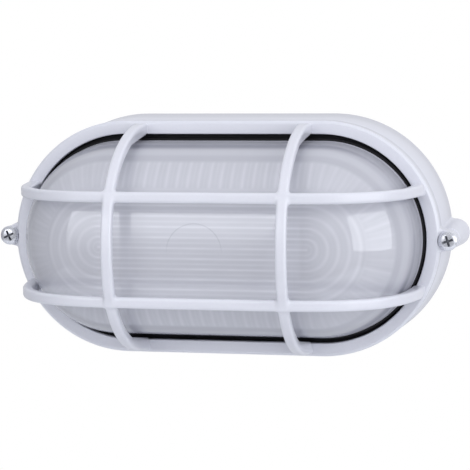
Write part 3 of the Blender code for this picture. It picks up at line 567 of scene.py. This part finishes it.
# the cross recess is darker: partly worn plating, partly painted shade
recessWearAndShade = plain("screw recess", (0.24, 0.25, 0.28), (0.16, 0.17, 0.19), 0.4, 0.6, scale=900, depth=0.00001)
ceramic = plain("glazed ceramic", (0.86, 0.84, 0.78), (0.80, 0.78, 0.71), 0.2, scale=150, coatWeight=0.5)
brass = plain("nickelled brass", (0.72, 0.65, 0.47), (0.60, 0.52, 0.34), 0.28, 1.0, scale=500)
zinc = plain("zinc plated strip", (0.66, 0.67, 0.70), (0.54, 0.56, 0.60), 0.32, 1.0, scale=260)
opal = plain("opal lamp", (0.88, 0.87, 0.84), (0.84, 0.82, 0.78), 0.3, scale=120, coatWeight=0.6)
nylon = plain("natural nylon", (0.82, 0.81, 0.75), (0.76, 0.75, 0.69), 0.42, scale=500)
brownSleeve = plain("brown sleeve", (0.19, 0.085, 0.04), (0.14, 0.06, 0.03), 0.5, scale=700)
blueSleeve = plain("blue sleeve", (0.045, 0.14, 0.43), (0.03, 0.10, 0.33), 0.5, scale=700)
print("finishes made")


# cover ring with its cage

cage = {
    "gridStep": 0.6,
    "barHalfWidth": 2.6,
    "barHalfDepth": 2.65,
    "barBackNarrowing": 0.4,
    "barRounding": 1.3,
    "longBarHeight": 24.8,
    "shortBarReach": 41.3,
    "longRise": 59.5,
    "longPowers": (5.4, 1.8),
    "shortPowers": (2.4, 1.8),
    "longFootInset": 4.5,
    "shortFootInset": 4.0,
    "longFlare": 0.6,
    "shortFlare": 0.8,
    "flareLength": 16.0,
    "gusset": 1.5,
    "gussetPlace": 11.0,
    "gussetHalf": 15.0,
    "crossFillet": 1.6,
    "footFillet": 0.6,
    "earFillet": 1.4,
    "chamfer": 1.3,
    "chamferRounding": 0.4,
    "lipRounding": 0.6,
    "ringCorner": 0.5,
    "skirtCorner": 0.49,
    "ringInset": 0.15,
    "edgeInset": 0.2,
    "edgeBlend": 0.4,
    "keptByBars": 6,
    "keptByEars": 5,
    "gridLow": (-117.6, 33.0, -60.6),
    "gridHigh": (117.6, 114.6, 60.6),
    "earTip": 4.7,
    "earRoot": 6.5,
    "earRootReach": 103.4,
    "earRounding": 0.7,
    "spotRadius": 5.1,
    "holeRadius": 2.3,
}


def archHeight(share, powers):
    # the crown's power and the legs'
    crownPower, legPower = powers
    return np.maximum(0, 1 - np.abs(share) ** crownPower) ** (1 / legPower)


longFoot = oval["halfStraight"] + math.sqrt(oval["ringEdge"] ** 2 - cage["longBarHeight"] ** 2) \
    - cage["longFootInset"]
shortFoot = oval["ringEdge"] - cage["shortFootInset"]
crossingRise = cage["longRise"] * archHeight(cage["shortBarReach"] / longFoot, cage["longPowers"])
shortRise = crossingRise / archHeight(cage["longBarHeight"] / shortFoot, cage["shortPowers"])


class ArchTable:
    # signed distance from an arch's centre line in its own plane, kept as a table
    def __init__(self, foot, rise, powers, width, top=116, spacing=0.4):
        turn = np.linspace(0, math.pi / 2, 900)
        along = foot * np.sin(turn)
        height = oval["ringFront"] + rise * archHeight(along / foot, powers)
        line = np.column_stack((np.append(along, foot), np.append(height, 20.0)))
        travelled = np.concatenate([[0], np.cumsum(np.linalg.norm(np.diff(line, axis=0), axis=1))])
        even = np.linspace(0, travelled[-1], 900)
        line = np.column_stack([np.interp(even, travelled, line[:, i]) for i in (0, 1)])
        self.low = np.array([-4.0, 30.0])
        self.spacing = spacing
        a = np.arange(self.low[0], width + 3, spacing)
        b = np.arange(self.low[1], top + 6, spacing)
        grid = np.array(np.meshgrid(a, b, indexing="ij")).reshape(2, -1).T
        mirrored = np.column_stack((np.abs(grid[:, 0]), grid[:, 1]))
        first, run = line[:-1], np.diff(line, axis=0)
        squared = (run ** 2).sum(1)
        best = np.full(len(grid), 1e9)
        for start in range(0, len(grid), 4000):
            part = mirrored[start:start + 4000, None] - first[None]
            share = np.clip((part * run).sum(2) / squared, 0, 1)
            gap = part - share[..., None] * run
            best[start:start + 4000] = np.sqrt((gap ** 2).sum(2).min(1))
        height = oval["ringFront"] + rise * archHeight(np.minimum(mirrored[:, 0] / foot, 1), powers)
        within = (mirrored[:, 1] < height) & (mirrored[:, 0] < foot)
        self.table = np.where(within, -best, best).reshape(len(a), len(b))

    def at(self, across, out):
        u = (np.abs(across) - self.low[0]) / self.spacing
        v = (out - self.low[1]) / self.spacing
        u = np.clip(u, 0, self.table.shape[0] - 1.001)
        v = np.clip(v, 0, self.table.shape[1] - 1.001)
        i, j = u.astype(int), v.astype(int)
        fu, fv = u - i, v - j
        t = self.table
        return (t[i, j] * (1 - fu) * (1 - fv) + t[i + 1, j] * fu * (1 - fv)
                + t[i, j + 1] * (1 - fu) * fv + t[i + 1, j + 1] * fu * fv)


longArch = ArchTable(longFoot, cage["longRise"], cage["longPowers"], 122)
shortArch = ArchTable(shortFoot, shortRise, cage["shortPowers"], 64)


def barField(arch, along, sideways, out, flareSize):
    # the foot widens, and its inner side leans in a little above the ring
    away = arch.at(along, out)
    above = out - oval["ringFront"]
    flare = flareSize * np.clip(1 - above / cage["flareLength"], 0, 1) ** 2
    lean = cage["gusset"] * np.clip(1 - ((above - cage["gussetPlace"]) / cage["gussetHalf"]) ** 2, 0, 1)
    half = cage["barHalfWidth"] + flare \
        - cage["barBackNarrowing"] * np.clip(-away / cage["barHalfDepth"], 0, 1)
    return boxField(away + lean / 2, sideways, cage["barHalfDepth"] + lean / 2, half, cage["barRounding"])


def barsField(x, out, z):
    longBar = barField(longArch, x, np.abs(z) - cage["longBarHeight"], out, cage["longFlare"])
    shortBar = barField(shortArch, z, np.abs(x) - cage["shortBarReach"], out, cage["shortFlare"])
    bars = smoothMin(longBar, shortBar, cage["crossFillet"])
    edge = ovalField(x, z) - oval["ringEdge"] + cage["chamfer"] - cage["edgeInset"]
    return smoothMax(bars, edge, cage["edgeBlend"])


def ringField(x, out, z):
    # the ring again, a little inside the swept one, so that the bars and ears blend into it
    reach = ovalField(x, z)
    edge, front, back = oval["ringEdge"], oval["ringFront"], oval["skirtBack"]
    plate = spanField(reach, out, (oval["windowEdge"], edge), (oval["plateBack"], front), cage["ringCorner"])
    skirt = spanField(reach, out, (oval["skirtInside"], edge), (back, front), cage["skirtCorner"])
    bevel = (reach - edge + out - front + cage["chamfer"]) * 0.7071  # 45 degrees
    return np.maximum(np.minimum(plate, skirt), bevel) + cage["ringInset"]


def earField(x, out, z):
    # a plate between two circles, one at the root inside the ring and one round the screw
    rootReach, rootRadius, tipRadius = cage["earRootReach"], cage["earRoot"], cage["earTip"]
    length = oval["screwReach"] - rootReach
    taper = (rootRadius - tipRadius) / length
    flank = math.sqrt(1 - taper ** 2)
    along, across = np.abs(x) - rootReach, np.abs(z)
    place = -taper * across + flank * along
    plan = np.where(place < 0, np.hypot(along, across) - rootRadius,
                    np.where(place > flank * length, np.hypot(along - length, across) - tipRadius,
                             across * flank + along * taper - rootRadius))
    middle = (oval["spotOut"] + oval["skirtBack"]) / 2
    half = (oval["spotOut"] - oval["skirtBack"]) / 2
    corner = cage["earRounding"]
    return roundedCorner(plan + corner, np.abs(out - middle) - half + corner, corner)


def cageField(x, out, z):
    bars = barsField(x, out, z)
    ears = earField(x, out, z)
    ring = ringField(x, out, z)
    body = smoothMin(smoothMin(bars, ring, cage["footFillet"]), smoothMin(ears, ring, cage["earFillet"]), 0.2)
    body = np.maximum(body, np.minimum(bars - cage["keptByBars"], ears - cage["keptByEars"]))
    fromAxis = np.hypot(np.abs(x) - oval["screwReach"], z)
    spot = np.maximum(fromAxis - cage["spotRadius"], oval["spotOut"] - out)
    window = np.maximum(ovalField(x, z) - oval["windowEdge"], out - oval["ringFront"])
    for cut in (-spot, cage["holeRadius"] - fromAxis, oval["skirtBack"] + 0.02 - out, -window):
        body = np.maximum(body, cut)
    return body


def ringSweep():
    edge, window, front = oval["ringEdge"], oval["windowEdge"], oval["ringFront"]
    cut, soft, small = cage["chamfer"], cage["chamferRounding"], cage["lipRounding"]
    lead = soft * math.tan(math.radians(22.5))
    section = [(window, oval["plateBack"])]
    section += rounding(small, (window + small, front - small), 180, 90)
    section += rounding(soft, (edge - cut - lead, front - soft), 90, 45, 4)
    section += rounding(soft, (edge - soft, front - cut - lead), 45, 0, 4)
    corner = cage["ringCorner"]
    section += rounding(corner, (edge - corner, oval["skirtBack"] + corner), 0, -90, 3)
    section += [(oval["skirtInside"], oval["skirtBack"]), (oval["skirtInside"], oval["plateBack"])]
    return ovalSweep(section, 112, 24, closed=True)


cover = makePiece("coverCage", *ringSweep(), paint, "white_paint", ("cage_frame",), sharp=40)
spots = [wallTool(sign * oval["screwReach"], 0, [(cage["spotRadius"], oval["spotOut"] - 0.06),
                                                 (cage["spotRadius"], oval["ringFront"] + 2)])
         for sign in (1, -1)]
cutWith(cover, spots)
verts, faces = netMesh(cageField, cage["gridLow"], cage["gridHigh"], cage["gridStep"], (0, 2))
takeIn(cover, [meshObject("cage bars", verts, faces, weld=True)])
smoothTo(cover, 40)
print("cover and cage made", len(cover.data.polygons), "faces")


# glass

glass = {
    "halfStraight": 50.8,
    "edge": 48.2,
    "flangeEdge": 53.9,
    "flangeBack": 38.0,
    "flangeFront": 41.0,
    "rise": 53.5,
    "power": 2.45,
    "wall": 3.3,
    "crownWall": 3.7,
    "flutesOuter": glassRibs["fluteEdge"],
    "flutesInner": glassRibs["crownEdge"],
    "fluteHeight": 0.5,
    "crownRibPitch": glassRibs["crownPitch"],
    "crownRibHeight": 0.5,
    "flutesPerEnd": 20,
    "flutesPerSide": 19,
    "samplesPerFlute": 8,
    "samplesPerRib": 16,
    "beadRadius": 41.3,
    "beadOuter": 42.8,
    "beadHalf": 1.2,
    "beadHeight": 0.45,
    "frostOut": 51.0,
}


def domeOut(radius, edge, rise, base):
    return base + rise * (1 - np.clip(radius / edge, 0, 1) ** glass["power"]) ** (1 / glass["power"])


def outerOut(radius):
    return float(domeOut(radius, glass["edge"], glass["rise"], glass["flangeFront"]))


def innerOut(radius):
    rise = glass["rise"] + glass["flangeFront"] - glass["flangeBack"] - glass["crownWall"]
    return domeOut(radius, glass["edge"] - glass["wall"], rise, glass["flangeBack"])


def softStep(value, low, high):
    share = np.clip((value - low) / (high - low), 0, 1)
    return share * share * (3 - 2 * share)


def cusps(phase, strength):
    # rounded reeds with sharp valleys
    return strength * (0.6 * np.abs(np.sin(np.pi * phase)) + 0.4 * np.abs(np.sin(2 * np.pi * phase)))


def innerGlass(radius, phase):
    # the ribbed inner face, for one row of stations
    step = max(0.05, radius * 0.01)
    slope = min(float((innerOut(radius - step) - innerOut(radius + step)) / (2 * step)), 12.0)
    inFlutes = softStep(radius, glass["flutesInner"], glass["flutesInner"] + 1.0) \
        * (1 - softStep(radius, glass["flutesOuter"] - 1.2, glass["flutesOuter"]))
    inCrown = 1 - softStep(radius, glass["flutesInner"] - 0.8, glass["flutesInner"] - 0.1)
    fluteLift = cusps(phase, glass["fluteHeight"])
    crownLift = cusps(radius / glass["crownRibPitch"], glass["crownRibHeight"])
    bead = max(0.0, 1 - ((radius - glass["beadRadius"]) / glass["beadHalf"]) ** 2) ** 2
    lift = fluteLift * inFlutes + crownLift * inCrown + bead * glass["beadHeight"]
    length = math.hypot(slope, 1)
    return radius - lift * slope / length, innerOut(radius) - lift / length


def glassDome():
    samples = glass["samplesPerFlute"]
    stations = ovalStations(glass["flutesPerEnd"] * samples, glass["flutesPerSide"] * samples)
    phase = np.arange(len(stations)) / samples
    straight = glass["halfStraight"]
    outer = [(glass["flangeEdge"], oval["halfStraight"], glass["flangeBack"]),
             (glass["flangeEdge"], oval["halfStraight"], glass["flangeFront"]),
             (glass["edge"] + 0.5, straight, glass["flangeFront"])]
    angles = np.concatenate((np.linspace(0, 20, 5)[1:], np.linspace(20, 90, 24)[1:]))
    for angle in np.radians(angles):
        radius = glass["edge"] * max(0.0, math.cos(angle)) ** (2 / glass["power"])
        radius = 0.0 if radius < 0.02 else radius
        outer.append((radius, straight, outerOut(radius)))
    outerRows = [ovalRow(stations, *row) for row in outer]
    crownSteps = int(glass["flutesInner"] / glass["crownRibPitch"] * glass["samplesPerRib"])
    radii = np.concatenate((np.linspace(glass["edge"] - glass["wall"], glass["beadOuter"], 6),
                            np.linspace(glass["beadOuter"] - 0.4, glass["flutesOuter"], 8),
                            np.linspace(glass["flutesOuter"] - 0.5, glass["flutesInner"] + 0.3, 18),
                            np.linspace(glass["flutesInner"], 0, crownSteps + 1)))
    innerRows = []
    for radius in radii:
        across, out = innerGlass(float(radius), phase)
        innerRows.append(ovalRow(stations, 0.0 if radius < 0.02 else across, straight, out))
    rows = outerRows + innerRows
    count, per = len(outerRows), len(stations)
    faces = rowFaces(count, per) + rowFaces(len(innerRows), per, start=count * per)
    faces += [(step, (step + 1) % per, count * per + (step + 1) % per, count * per + step)
              for step in range(per)]
    piece = makePiece("glassDome", rows, faces, face, "pressed_glass", ("glass_diffuser",), sharp=70)
    piece.data.materials.append(pressed)
    # the dome's outside takes the clear face, the ribbed inside, the foot and the flange scatter
    for side in piece.data.polygons:
        x, y, z = side.center / mm
        reach = math.hypot(max(abs(x) - straight, 0), z)
        onDome = reach < glass["edge"] + 0.05 and -y > outerOut(reach) - 1.6 and side.normal[1] < 0.2
        side.material_index = 0 if onDome and -y > glass["frostOut"] else 1
    return piece


glassPiece = glassDome()
print("glass made", len(glassPiece.data.polygons), "faces")


# gasket

gasket = {
    "throat": 48.28,
    "lipEdge": 49.6,
    "lipFront": 45.2,
    "edge": 55.7,
    "front": 42.7,
    "back": 36.3,
    "leg": 1.4,
    "web": 1.5,
    "trayEdge": 53.3,
}


def rubberGasket():
    straight, dome = oval["halfStraight"], glass["halfStraight"]
    front, back, leg = gasket["front"], gasket["back"], gasket["leg"]
    throat, lip, top = gasket["throat"], gasket["lipEdge"], gasket["lipFront"]
    edge, web, tray = gasket["edge"], gasket["edge"] - gasket["web"], gasket["trayEdge"] - leg
    section = [(throat, dome, top - 0.25), (throat + 0.1, dome, top - 0.05), (throat + 0.3, dome, top),
               (lip - 0.25, dome, top - 0.2), (lip - 0.05, dome, top - 0.6), (lip, dome, front + 0.25),
               (lip + 0.25, dome, front), (edge, straight, front), (edge, straight, back),
               (tray, straight, back), (tray, straight, back + leg), (web, straight, back + leg),
               (web, straight, front - leg), (throat, dome, front - leg)]
    makePiece("rubberGasket", *ovalSweep(section, 96, 16, closed=True), rubber,
              "black_rubber", ("glass_gasket",), sharp=50)


rubberGasket()


# cover screws

screw = {
    "headRadius": 4.8,
    "headHeight": 2.6,
    "shankRadius": 2.0,
    "length": 24.0,
    "crossLength": 6.0,
    "crossWidth": 1.1,
    "crossDepth": 1.5,
    "rimHeight": 0.75,
    "rimRounding": 0.25,
    "domePower": 3.2,
    "leftTurn": 24.0,
    "rightTurn": 18.0,
    "gap": 0.3,
}


def headHeight(share):
    # the height of the domed head at a share of its radius
    rim = screw["rimHeight"]
    return rim + (screw["headHeight"] - rim) * (1 - share ** screw["domePower"]) ** 0.5


def coverScrew(name, sign, turnAngle):
    seat, axis = oval["spotOut"] + screw["gap"], sign * oval["screwReach"]
    radius, height, shank = screw["headRadius"], screw["headHeight"], screw["shankRadius"]
    soft = screw["rimRounding"]
    profile = [(0.0, -screw["length"]), (shank * 0.7, -screw["length"]), (shank, -screw["length"] + 0.7),
               (shank, 0.0), (radius - soft, 0.0), (radius, soft), (radius, screw["rimHeight"])]
    profile += [(radius * share, headHeight(share)) for share in np.sin(np.radians(np.linspace(84, 0, 14)))]
    profile[-1] = (0.0, height)
    verts = turned(profile, 64, [0, 2, 1], (axis, seat, 0))
    piece = makePiece(name, verts, rowFaces(len(profile), 64), plated, "plated_screw",
                      ("cover_screw_right" if sign > 0 else "cover_screw_left",), sharp=40)
    tools = []
    for quarter in (0, 90):
        angle = math.radians(turnAngle + quarter)
        cosine, sine = math.cos(angle), math.sin(angle)
        reach, wide = screw["crossLength"] / 2, screw["crossWidth"] / 2
        corners = []
        for out, share in ((height - screw["crossDepth"], 0.5), (height + 0.5, 1.12)):
            for a, b in ((-1, -1), (1, -1), (1, 1), (-1, 1)):
                u, v = a * reach * share, b * wide * (0.6 + 0.4 * share)
                corners.append((u * cosine - v * sine + axis, seat + out, u * sine + v * cosine))
        tools.append(meshObject("tool", corners, [(0, 1, 2, 3), (4, 5, 6, 7)] + rowFaces(2, 4)))
    cutWith(piece, tools)
    # faces in the cross recess take the darker finish, partly worn plating and partly painted shade
    if len(piece.data.materials) < 2:
        piece.data.materials.append(recessWearAndShade)
    for side in piece.data.polygons:
        across, along = side.center.x / mm - axis, side.center.z / mm
        share = min(1, math.hypot(across, along) / radius)
        deep = seat + headHeight(share) + side.center.y / mm
        side.material_index = 1 if share < 0.75 and 0.12 < deep < 1.8 else 0
    smoothTo(piece, 32)


coverScrew("coverScrewLeft", -1, screw["leftTurn"])
coverScrew("coverScrewRight", 1, screw["rightTurn"])
print("gasket and cover screws made")


# base casting

base = {
    "foot": 60.2,
    "shoulder": 58.2,
    "depth": 33.7,
    "floor": 3.0,
    "tongueEdge": 55.7,
    "trayEdge": 53.3,
    "trayFoot": 52.7,
    "rimOut": 36.0,
    "footRounding": 0.8,
    "shoulderRounding": 0.7,
    "floorFillet": 3.0,
    "grooveInset": 6.2,
    "grooveWidth": 3.0,
    "grooveDepth": 1.6,
    "pillarTop": 5.0,
    "pillarFoot": 7.0,
    "pillarFillet": 2.4,
    "pillarWall": 2.4,
    "pillarRounding": 0.8,
    "gridLow": (97.5, -0.5, -18),
    "gridHigh": (120, 34.5, 18),
    "gridStep": 0.5,
    "screwBottom": 20.2,
    "fixingReach": 45.0,
    "fixingHole": 2.5,
    "fixingPad": 5.5,
    "fixingStraight": 4.0,
    "fixingPadTop": 6.0,
    "entry": 86.0,
    "entryHole": 6.8,
    "entryRecess": 9.5,
    "entryRecessDepth": 2.5,
    "entryBoss": 11.2,
    "padRadius": 3.6,
    "padTop": 5.0,
    "padHole": 1.8,
    "pads": ((-73.5, 7.0), (-73.5, -7.0), (62.0, 0.0), (60.0, 31.0)),
}


def slotTool(x, radius, straight, low, high, steps=32):
    angles = np.linspace(0, math.pi, steps // 2 + 1)
    outline = [(x + side * radius * math.cos(a), side * (straight / 2 + radius * math.sin(a)))
               for side in (1, -1) for a in angles]
    count = len(outline)
    verts = [(u, low, v) for u, v in outline] + [(u, high, v) for u, v in outline]
    faces = rowFaces(2, count) + [list(range(count)), list(range(count, 2 * count))]
    return meshObject("tool", verts, faces)


def sideRadius(out):
    return base["foot"] + (base["shoulder"] - base["foot"]) * out / base["depth"]


def pillarField(x, out, z):
    # the pillar round the cover screw, run softly into the base's drafted side
    reach = ovalField(x, z)
    side = reach - sideRadius(out)
    fromAxis = np.hypot(np.abs(x) - oval["screwReach"], z)
    cone = fromAxis - (base["pillarFoot"] + (base["pillarTop"] - base["pillarFoot"]) * out / base["depth"])
    whole = smoothMin(cone, side + 0.15, base["pillarFillet"])
    whole = np.maximum(whole, np.minimum(cone - 7, side + 40))
    # inside the casting the patch stays under its faces
    under = 0.5 * np.clip(0.3 - side, 0, 1)
    whole = smoothMax(whole, out - base["depth"] + under, base["pillarRounding"])
    whole = smoothMax(whole, under - out, base["pillarRounding"])
    whole = np.maximum(whole, -(side + base["pillarWall"]))
    hole = np.maximum(fromAxis - cage["holeRadius"], base["screwBottom"] - out)
    return np.maximum(whole, -hole)


def bodyBase():
    foot, depth = base["foot"], base["depth"]
    section = [(0.0, base["floor"]), (base["trayFoot"] - base["floorFillet"], base["floor"])]
    section += rounding(base["floorFillet"], (base["trayFoot"] - base["floorFillet"],
                                              base["floor"] + base["floorFillet"]), -90, 0, 6)[1:]
    section += [(base["trayEdge"], base["rimOut"] - 0.3), (base["trayEdge"] + 0.3, base["rimOut"]),
                (base["tongueEdge"] - 0.3, base["rimOut"]), (base["tongueEdge"], base["rimOut"] - 0.3),
                (base["tongueEdge"], depth)]
    soft = base["shoulderRounding"]
    section += rounding(soft, (sideRadius(depth) - soft, depth - soft), 90, 3, 5)
    soft = base["footRounding"]
    section += rounding(soft, (foot - soft, soft), -3, -90, 5)
    seal = foot - base["grooveInset"]
    section += [(seal + base["grooveWidth"], 0.0), (seal + base["grooveWidth"] - 0.2, base["grooveDepth"]),
                (seal + 0.2, base["grooveDepth"]), (seal, 0.0), (0.0, 0.0)]
    piece = makePiece("bodyBase", *ovalSweep(section, 96, 24), paint,
                      "white_paint", ("body_casting",), sharp=35)
    # the tools start inside the floor or reach past the faces they cut
    half = base["floor"] / 2
    adds = [wallTool(base["entry"], 0, [(base["entryBoss"], half), (base["entryBoss"], 5.2),
                                        (base["entryBoss"] - 0.3, 5.5)])]
    cuts = [wallTool(base["entry"], 0, [(base["entryRecess"], -2),
                                        (base["entryRecess"], base["entryRecessDepth"])]),
            wallTool(base["entry"], 0, [(base["entryHole"], -1), (base["entryHole"], 8)])]
    for sign in (1, -1):
        x = sign * base["fixingReach"]
        adds.append(slotTool(x, base["fixingPad"], base["fixingStraight"], half, base["fixingPadTop"]))
        cuts.append(slotTool(x, base["fixingHole"], base["fixingStraight"], -2, 8))
        cuts.append(wallTool(sign * oval["screwReach"], 0, [(cage["holeRadius"], base["screwBottom"]),
                                                            (cage["holeRadius"], depth + 1)], 24))
    pad = base["padRadius"]
    for x, z in base["pads"]:
        adds.append(wallTool(x, z, [(pad + 0.3, half), (pad, base["padTop"])], 32))
        cuts.append(wallTool(x, z, [(base["padHole"], half), (base["padHole"], 7)], 24))
    cutWith(piece, adds, "UNION")
    cutWith(piece, cuts)
    verts, faces = netMesh(pillarField, base["gridLow"], base["gridHigh"], base["gridStep"], (2,))
    takeIn(piece, [meshObject("pillar", verts * (sign, 1, 1), faces, weld=True) for sign in (1, -1)])
    smoothTo(piece, 35)
    return piece


basePiece = bodyBase()
print("base made", len(basePiece.data.polygons), "faces")


# lamp

lamp = {
    "axisOut": 47.0,
    "capStart": -65.8,
    "capFront": -40.7,
    "capRadius": 12.6,
    "neckRadius": 14.6,
    "bulbRadius": 30.0,
    "length": 80.0,
    "shoulder": 5.7,
    "neckShare": 0.35,
    "threadDepth": 0.3,
    "threadTurns": 6,
}


def opalLamp():
    start, front, radius = lamp["capStart"], lamp["capFront"], lamp["bulbRadius"]
    middle = front + lamp["length"] - radius
    profile = [(0.0, start), (2.1, start), (4.2, start + 1.9), (lamp["capRadius"], start + lamp["shoulder"])]
    join = middle - radius * lamp["neckShare"]
    joinRadius = radius * math.sqrt(1 - lamp["neckShare"] ** 2)
    for share in np.linspace(0, 1, 40):
        groove = 0.5 - 0.5 * math.cos(share * 2 * lamp["threadTurns"] * math.pi)
        profile.append((lamp["capRadius"] - lamp["threadDepth"] * groove,
                        start + lamp["shoulder"] + (front - start - lamp["shoulder"]) * share))
    for share in np.linspace(0, 1, 14):
        profile.append((lamp["neckRadius"] + (joinRadius - lamp["neckRadius"]) * softStep(share, 0, 1),
                        front + 3.0 + (join - front - 3.0) * share))
    for angle in np.linspace(math.asin(-lamp["neckShare"]), math.pi / 2, 18)[1:]:
        profile.append((radius * math.cos(angle), middle + radius * math.sin(angle)))
    profile[-1] = (0.0, middle + radius)
    makePiece("opalLamp", turned(profile, 64, [2, 0, 1], (0, lamp["axisOut"], 0)),
              rowFaces(len(profile), 64), opal, "opal_lamp", ("lamp_bulb",), sharp=40)


opalLamp()
print("lamp made")


# camera, light and floor

view = {
    "turn": 0.2099,
    "rise": 0.1002,
    "roll": -0.0082,
    "distance": 0.900,
    "target": (0.006105, -0.046, 0.001644),
    "lens": 139.17,
    "sensor": 36.0,
}


def studioCamera():
    turn, rise, roll = view["turn"], view["rise"], view["roll"]
    across = Vector((math.cos(turn), math.sin(turn), 0))
    up = Vector((-math.sin(turn) * math.sin(rise), math.cos(turn) * math.sin(rise), math.cos(rise)))
    back = Vector((math.sin(turn) * math.cos(rise), -math.cos(turn) * math.cos(rise), math.sin(rise)))
    right = across * math.cos(roll) + up * math.sin(roll)
    top = up * math.cos(roll) - across * math.sin(roll)
    data = bpy.data.cameras.new("studio camera")
    data.lens = view["lens"]
    data.sensor_width = view["sensor"]
    data.clip_start, data.clip_end = 0.05, 50
    camera = placed("studio camera", data)
    turned = Matrix((right, top, back)).transposed().to_4x4()
    camera.matrix_world = Matrix.Translation(Vector(view["target"]) + back * view["distance"]) @ turned
    scene.camera = camera


studio = {
    "backdrop": 1.0,
    "roomColour": (0.93, 0.94, 1.0),
    "front": 0.28,
    "above": 0.31,
    "below": 0.03,
    "behind": 0.45,
    "right": 0.22,
    "lampColour": (0.96, 0.97, 1.0),
    "softboxGain": 1.4,
    "floorColour": (0.82, 0.83, 0.85),
    "floorHeight": -0.30,
    "floorHalf": 0.62,
}
softLights = {
    # azimuth from straight out towards +X, elevation, distance, width, height, strength in watts
    "left softbox": (-26.5, 7, 1.1, 0.70, 0.60, 2.0),
    "front fill": (-6, 24, 1.1, 0.90, 0.70, 3.3),
    "right softbox": (63, 10, 1.1, 1.30, 0.70, 5.5),
    "top softbox": (0, 68, 0.55, 0.60, 0.26, 0.6),
    "low fill": (48, -32, 1.1, 0.80, 0.50, 1.1),
}
lightTarget = Vector((0.0, -0.047, 0.008))


def studioLight():
    scene.world = bpy.data.worlds.new("studio")
    bench = NodeBench(scene.world, "ShaderNodeOutputWorld")
    way = bench.node("ShaderNodeTexCoord")
    right, behind, above = [bench.node("ShaderNodeSeparateXYZ", None, {0: way}, output=i) for i in range(3)]
    strength = studio["front"] + above.maths("MINIMUM", above, 0.0) * studio["below"]
    for side, key in ((above, "above"), (behind, "behind"), (right, "right")):
        strength = strength + side.maths("MAXIMUM", side, 0.0) * studio[key]
    room = bench.node("ShaderNodeBackground", None, {"Color": studio["roomColour"], "Strength": strength})
    backdrop = bench.node("ShaderNodeBackground", None, {"Color": (1.0, 1.0, 1.0),
                                                         "Strength": studio["backdrop"]})
    seen = bench.node("ShaderNodeLightPath")
    bench.close(bench.node("ShaderNodeMixShader", None, {0: seen, 1: room, 2: backdrop}))
    for name, (azimuth, elevation, distance, width, height, watts) in softLights.items():
        a, e = math.radians(azimuth), math.radians(elevation)
        away = Vector((math.sin(a) * math.cos(e), -math.cos(a) * math.cos(e), math.sin(e)))
        data = bpy.data.lights.new(name, "AREA")
        data.shape = "RECTANGLE"
        data.size, data.size_y = width, height
        data.energy = watts
        data.color = studio["lampColour"]
        light = placed(name, data)
        light.rotation_mode = "QUATERNION"
        light.rotation_quaternion = away.to_track_quat("Z", "Y")
        light.location = lightTarget + away * distance
        light.visible_camera = False
        light.visible_glossy = name.startswith(("left", "right"))
        if name == "left softbox":
            # its lower part fades out
            glow = NodeBench(data, "ShaderNodeOutputLight")
            spot = glow.node("ShaderNodeNewGeometry", output=5)
            below = 1 - glow.node("ShaderNodeSeparateXYZ", None, {0: spot}, output=1)
            share = (1 - below * below) * studio["softboxGain"]
            glow.close(glow.node("ShaderNodeEmission", None, {"Strength": share}))
    scene.view_settings.view_transform = "Standard"
    scene.view_settings.look = "None"


def paleFloor():
    finish = Finish("pale floor")
    cloud = finish.noise(9, 3, 0.5, finish.place())
    tone = finish.mixColour(cloud, tuple(c * 0.985 for c in studio["floorColour"]), studio["floorColour"])
    material = finish.close(finish.surface(baseColor=tone, roughness=0.7))
    half, height = studio["floorHalf"], studio["floorHeight"]
    mesh = bpy.data.meshes.new("pale floor")
    corners = [(-half, -half, height), (half, -half, height), (half, half, height), (-half, half, height)]
    mesh.from_pydata(corners, [], [(0, 1, 2, 3)])
    mesh.materials.append(material)
    placed("pale floor", mesh)


studioCamera()
studioLight()
paleFloor()
print("camera, light and floor made")


# nodes that keep the casting's own shapes

# the first word found in a node's name says its finish
nodeFinishes = {
    "screw": plated, "grommet": rubber, "holder_body": ceramic, "shell": brass, "contact": brass,
    "washer": brass, "bracket": zinc, "block": nylon, "wire_live": brownSleeve, "wire_neutral": blueSleeve,
}
for name, node in nodes.items():
    found = [finish for word, finish in nodeFinishes.items() if word in name]
    for place in node.material_slots if found else ():
        place.material = found[0]
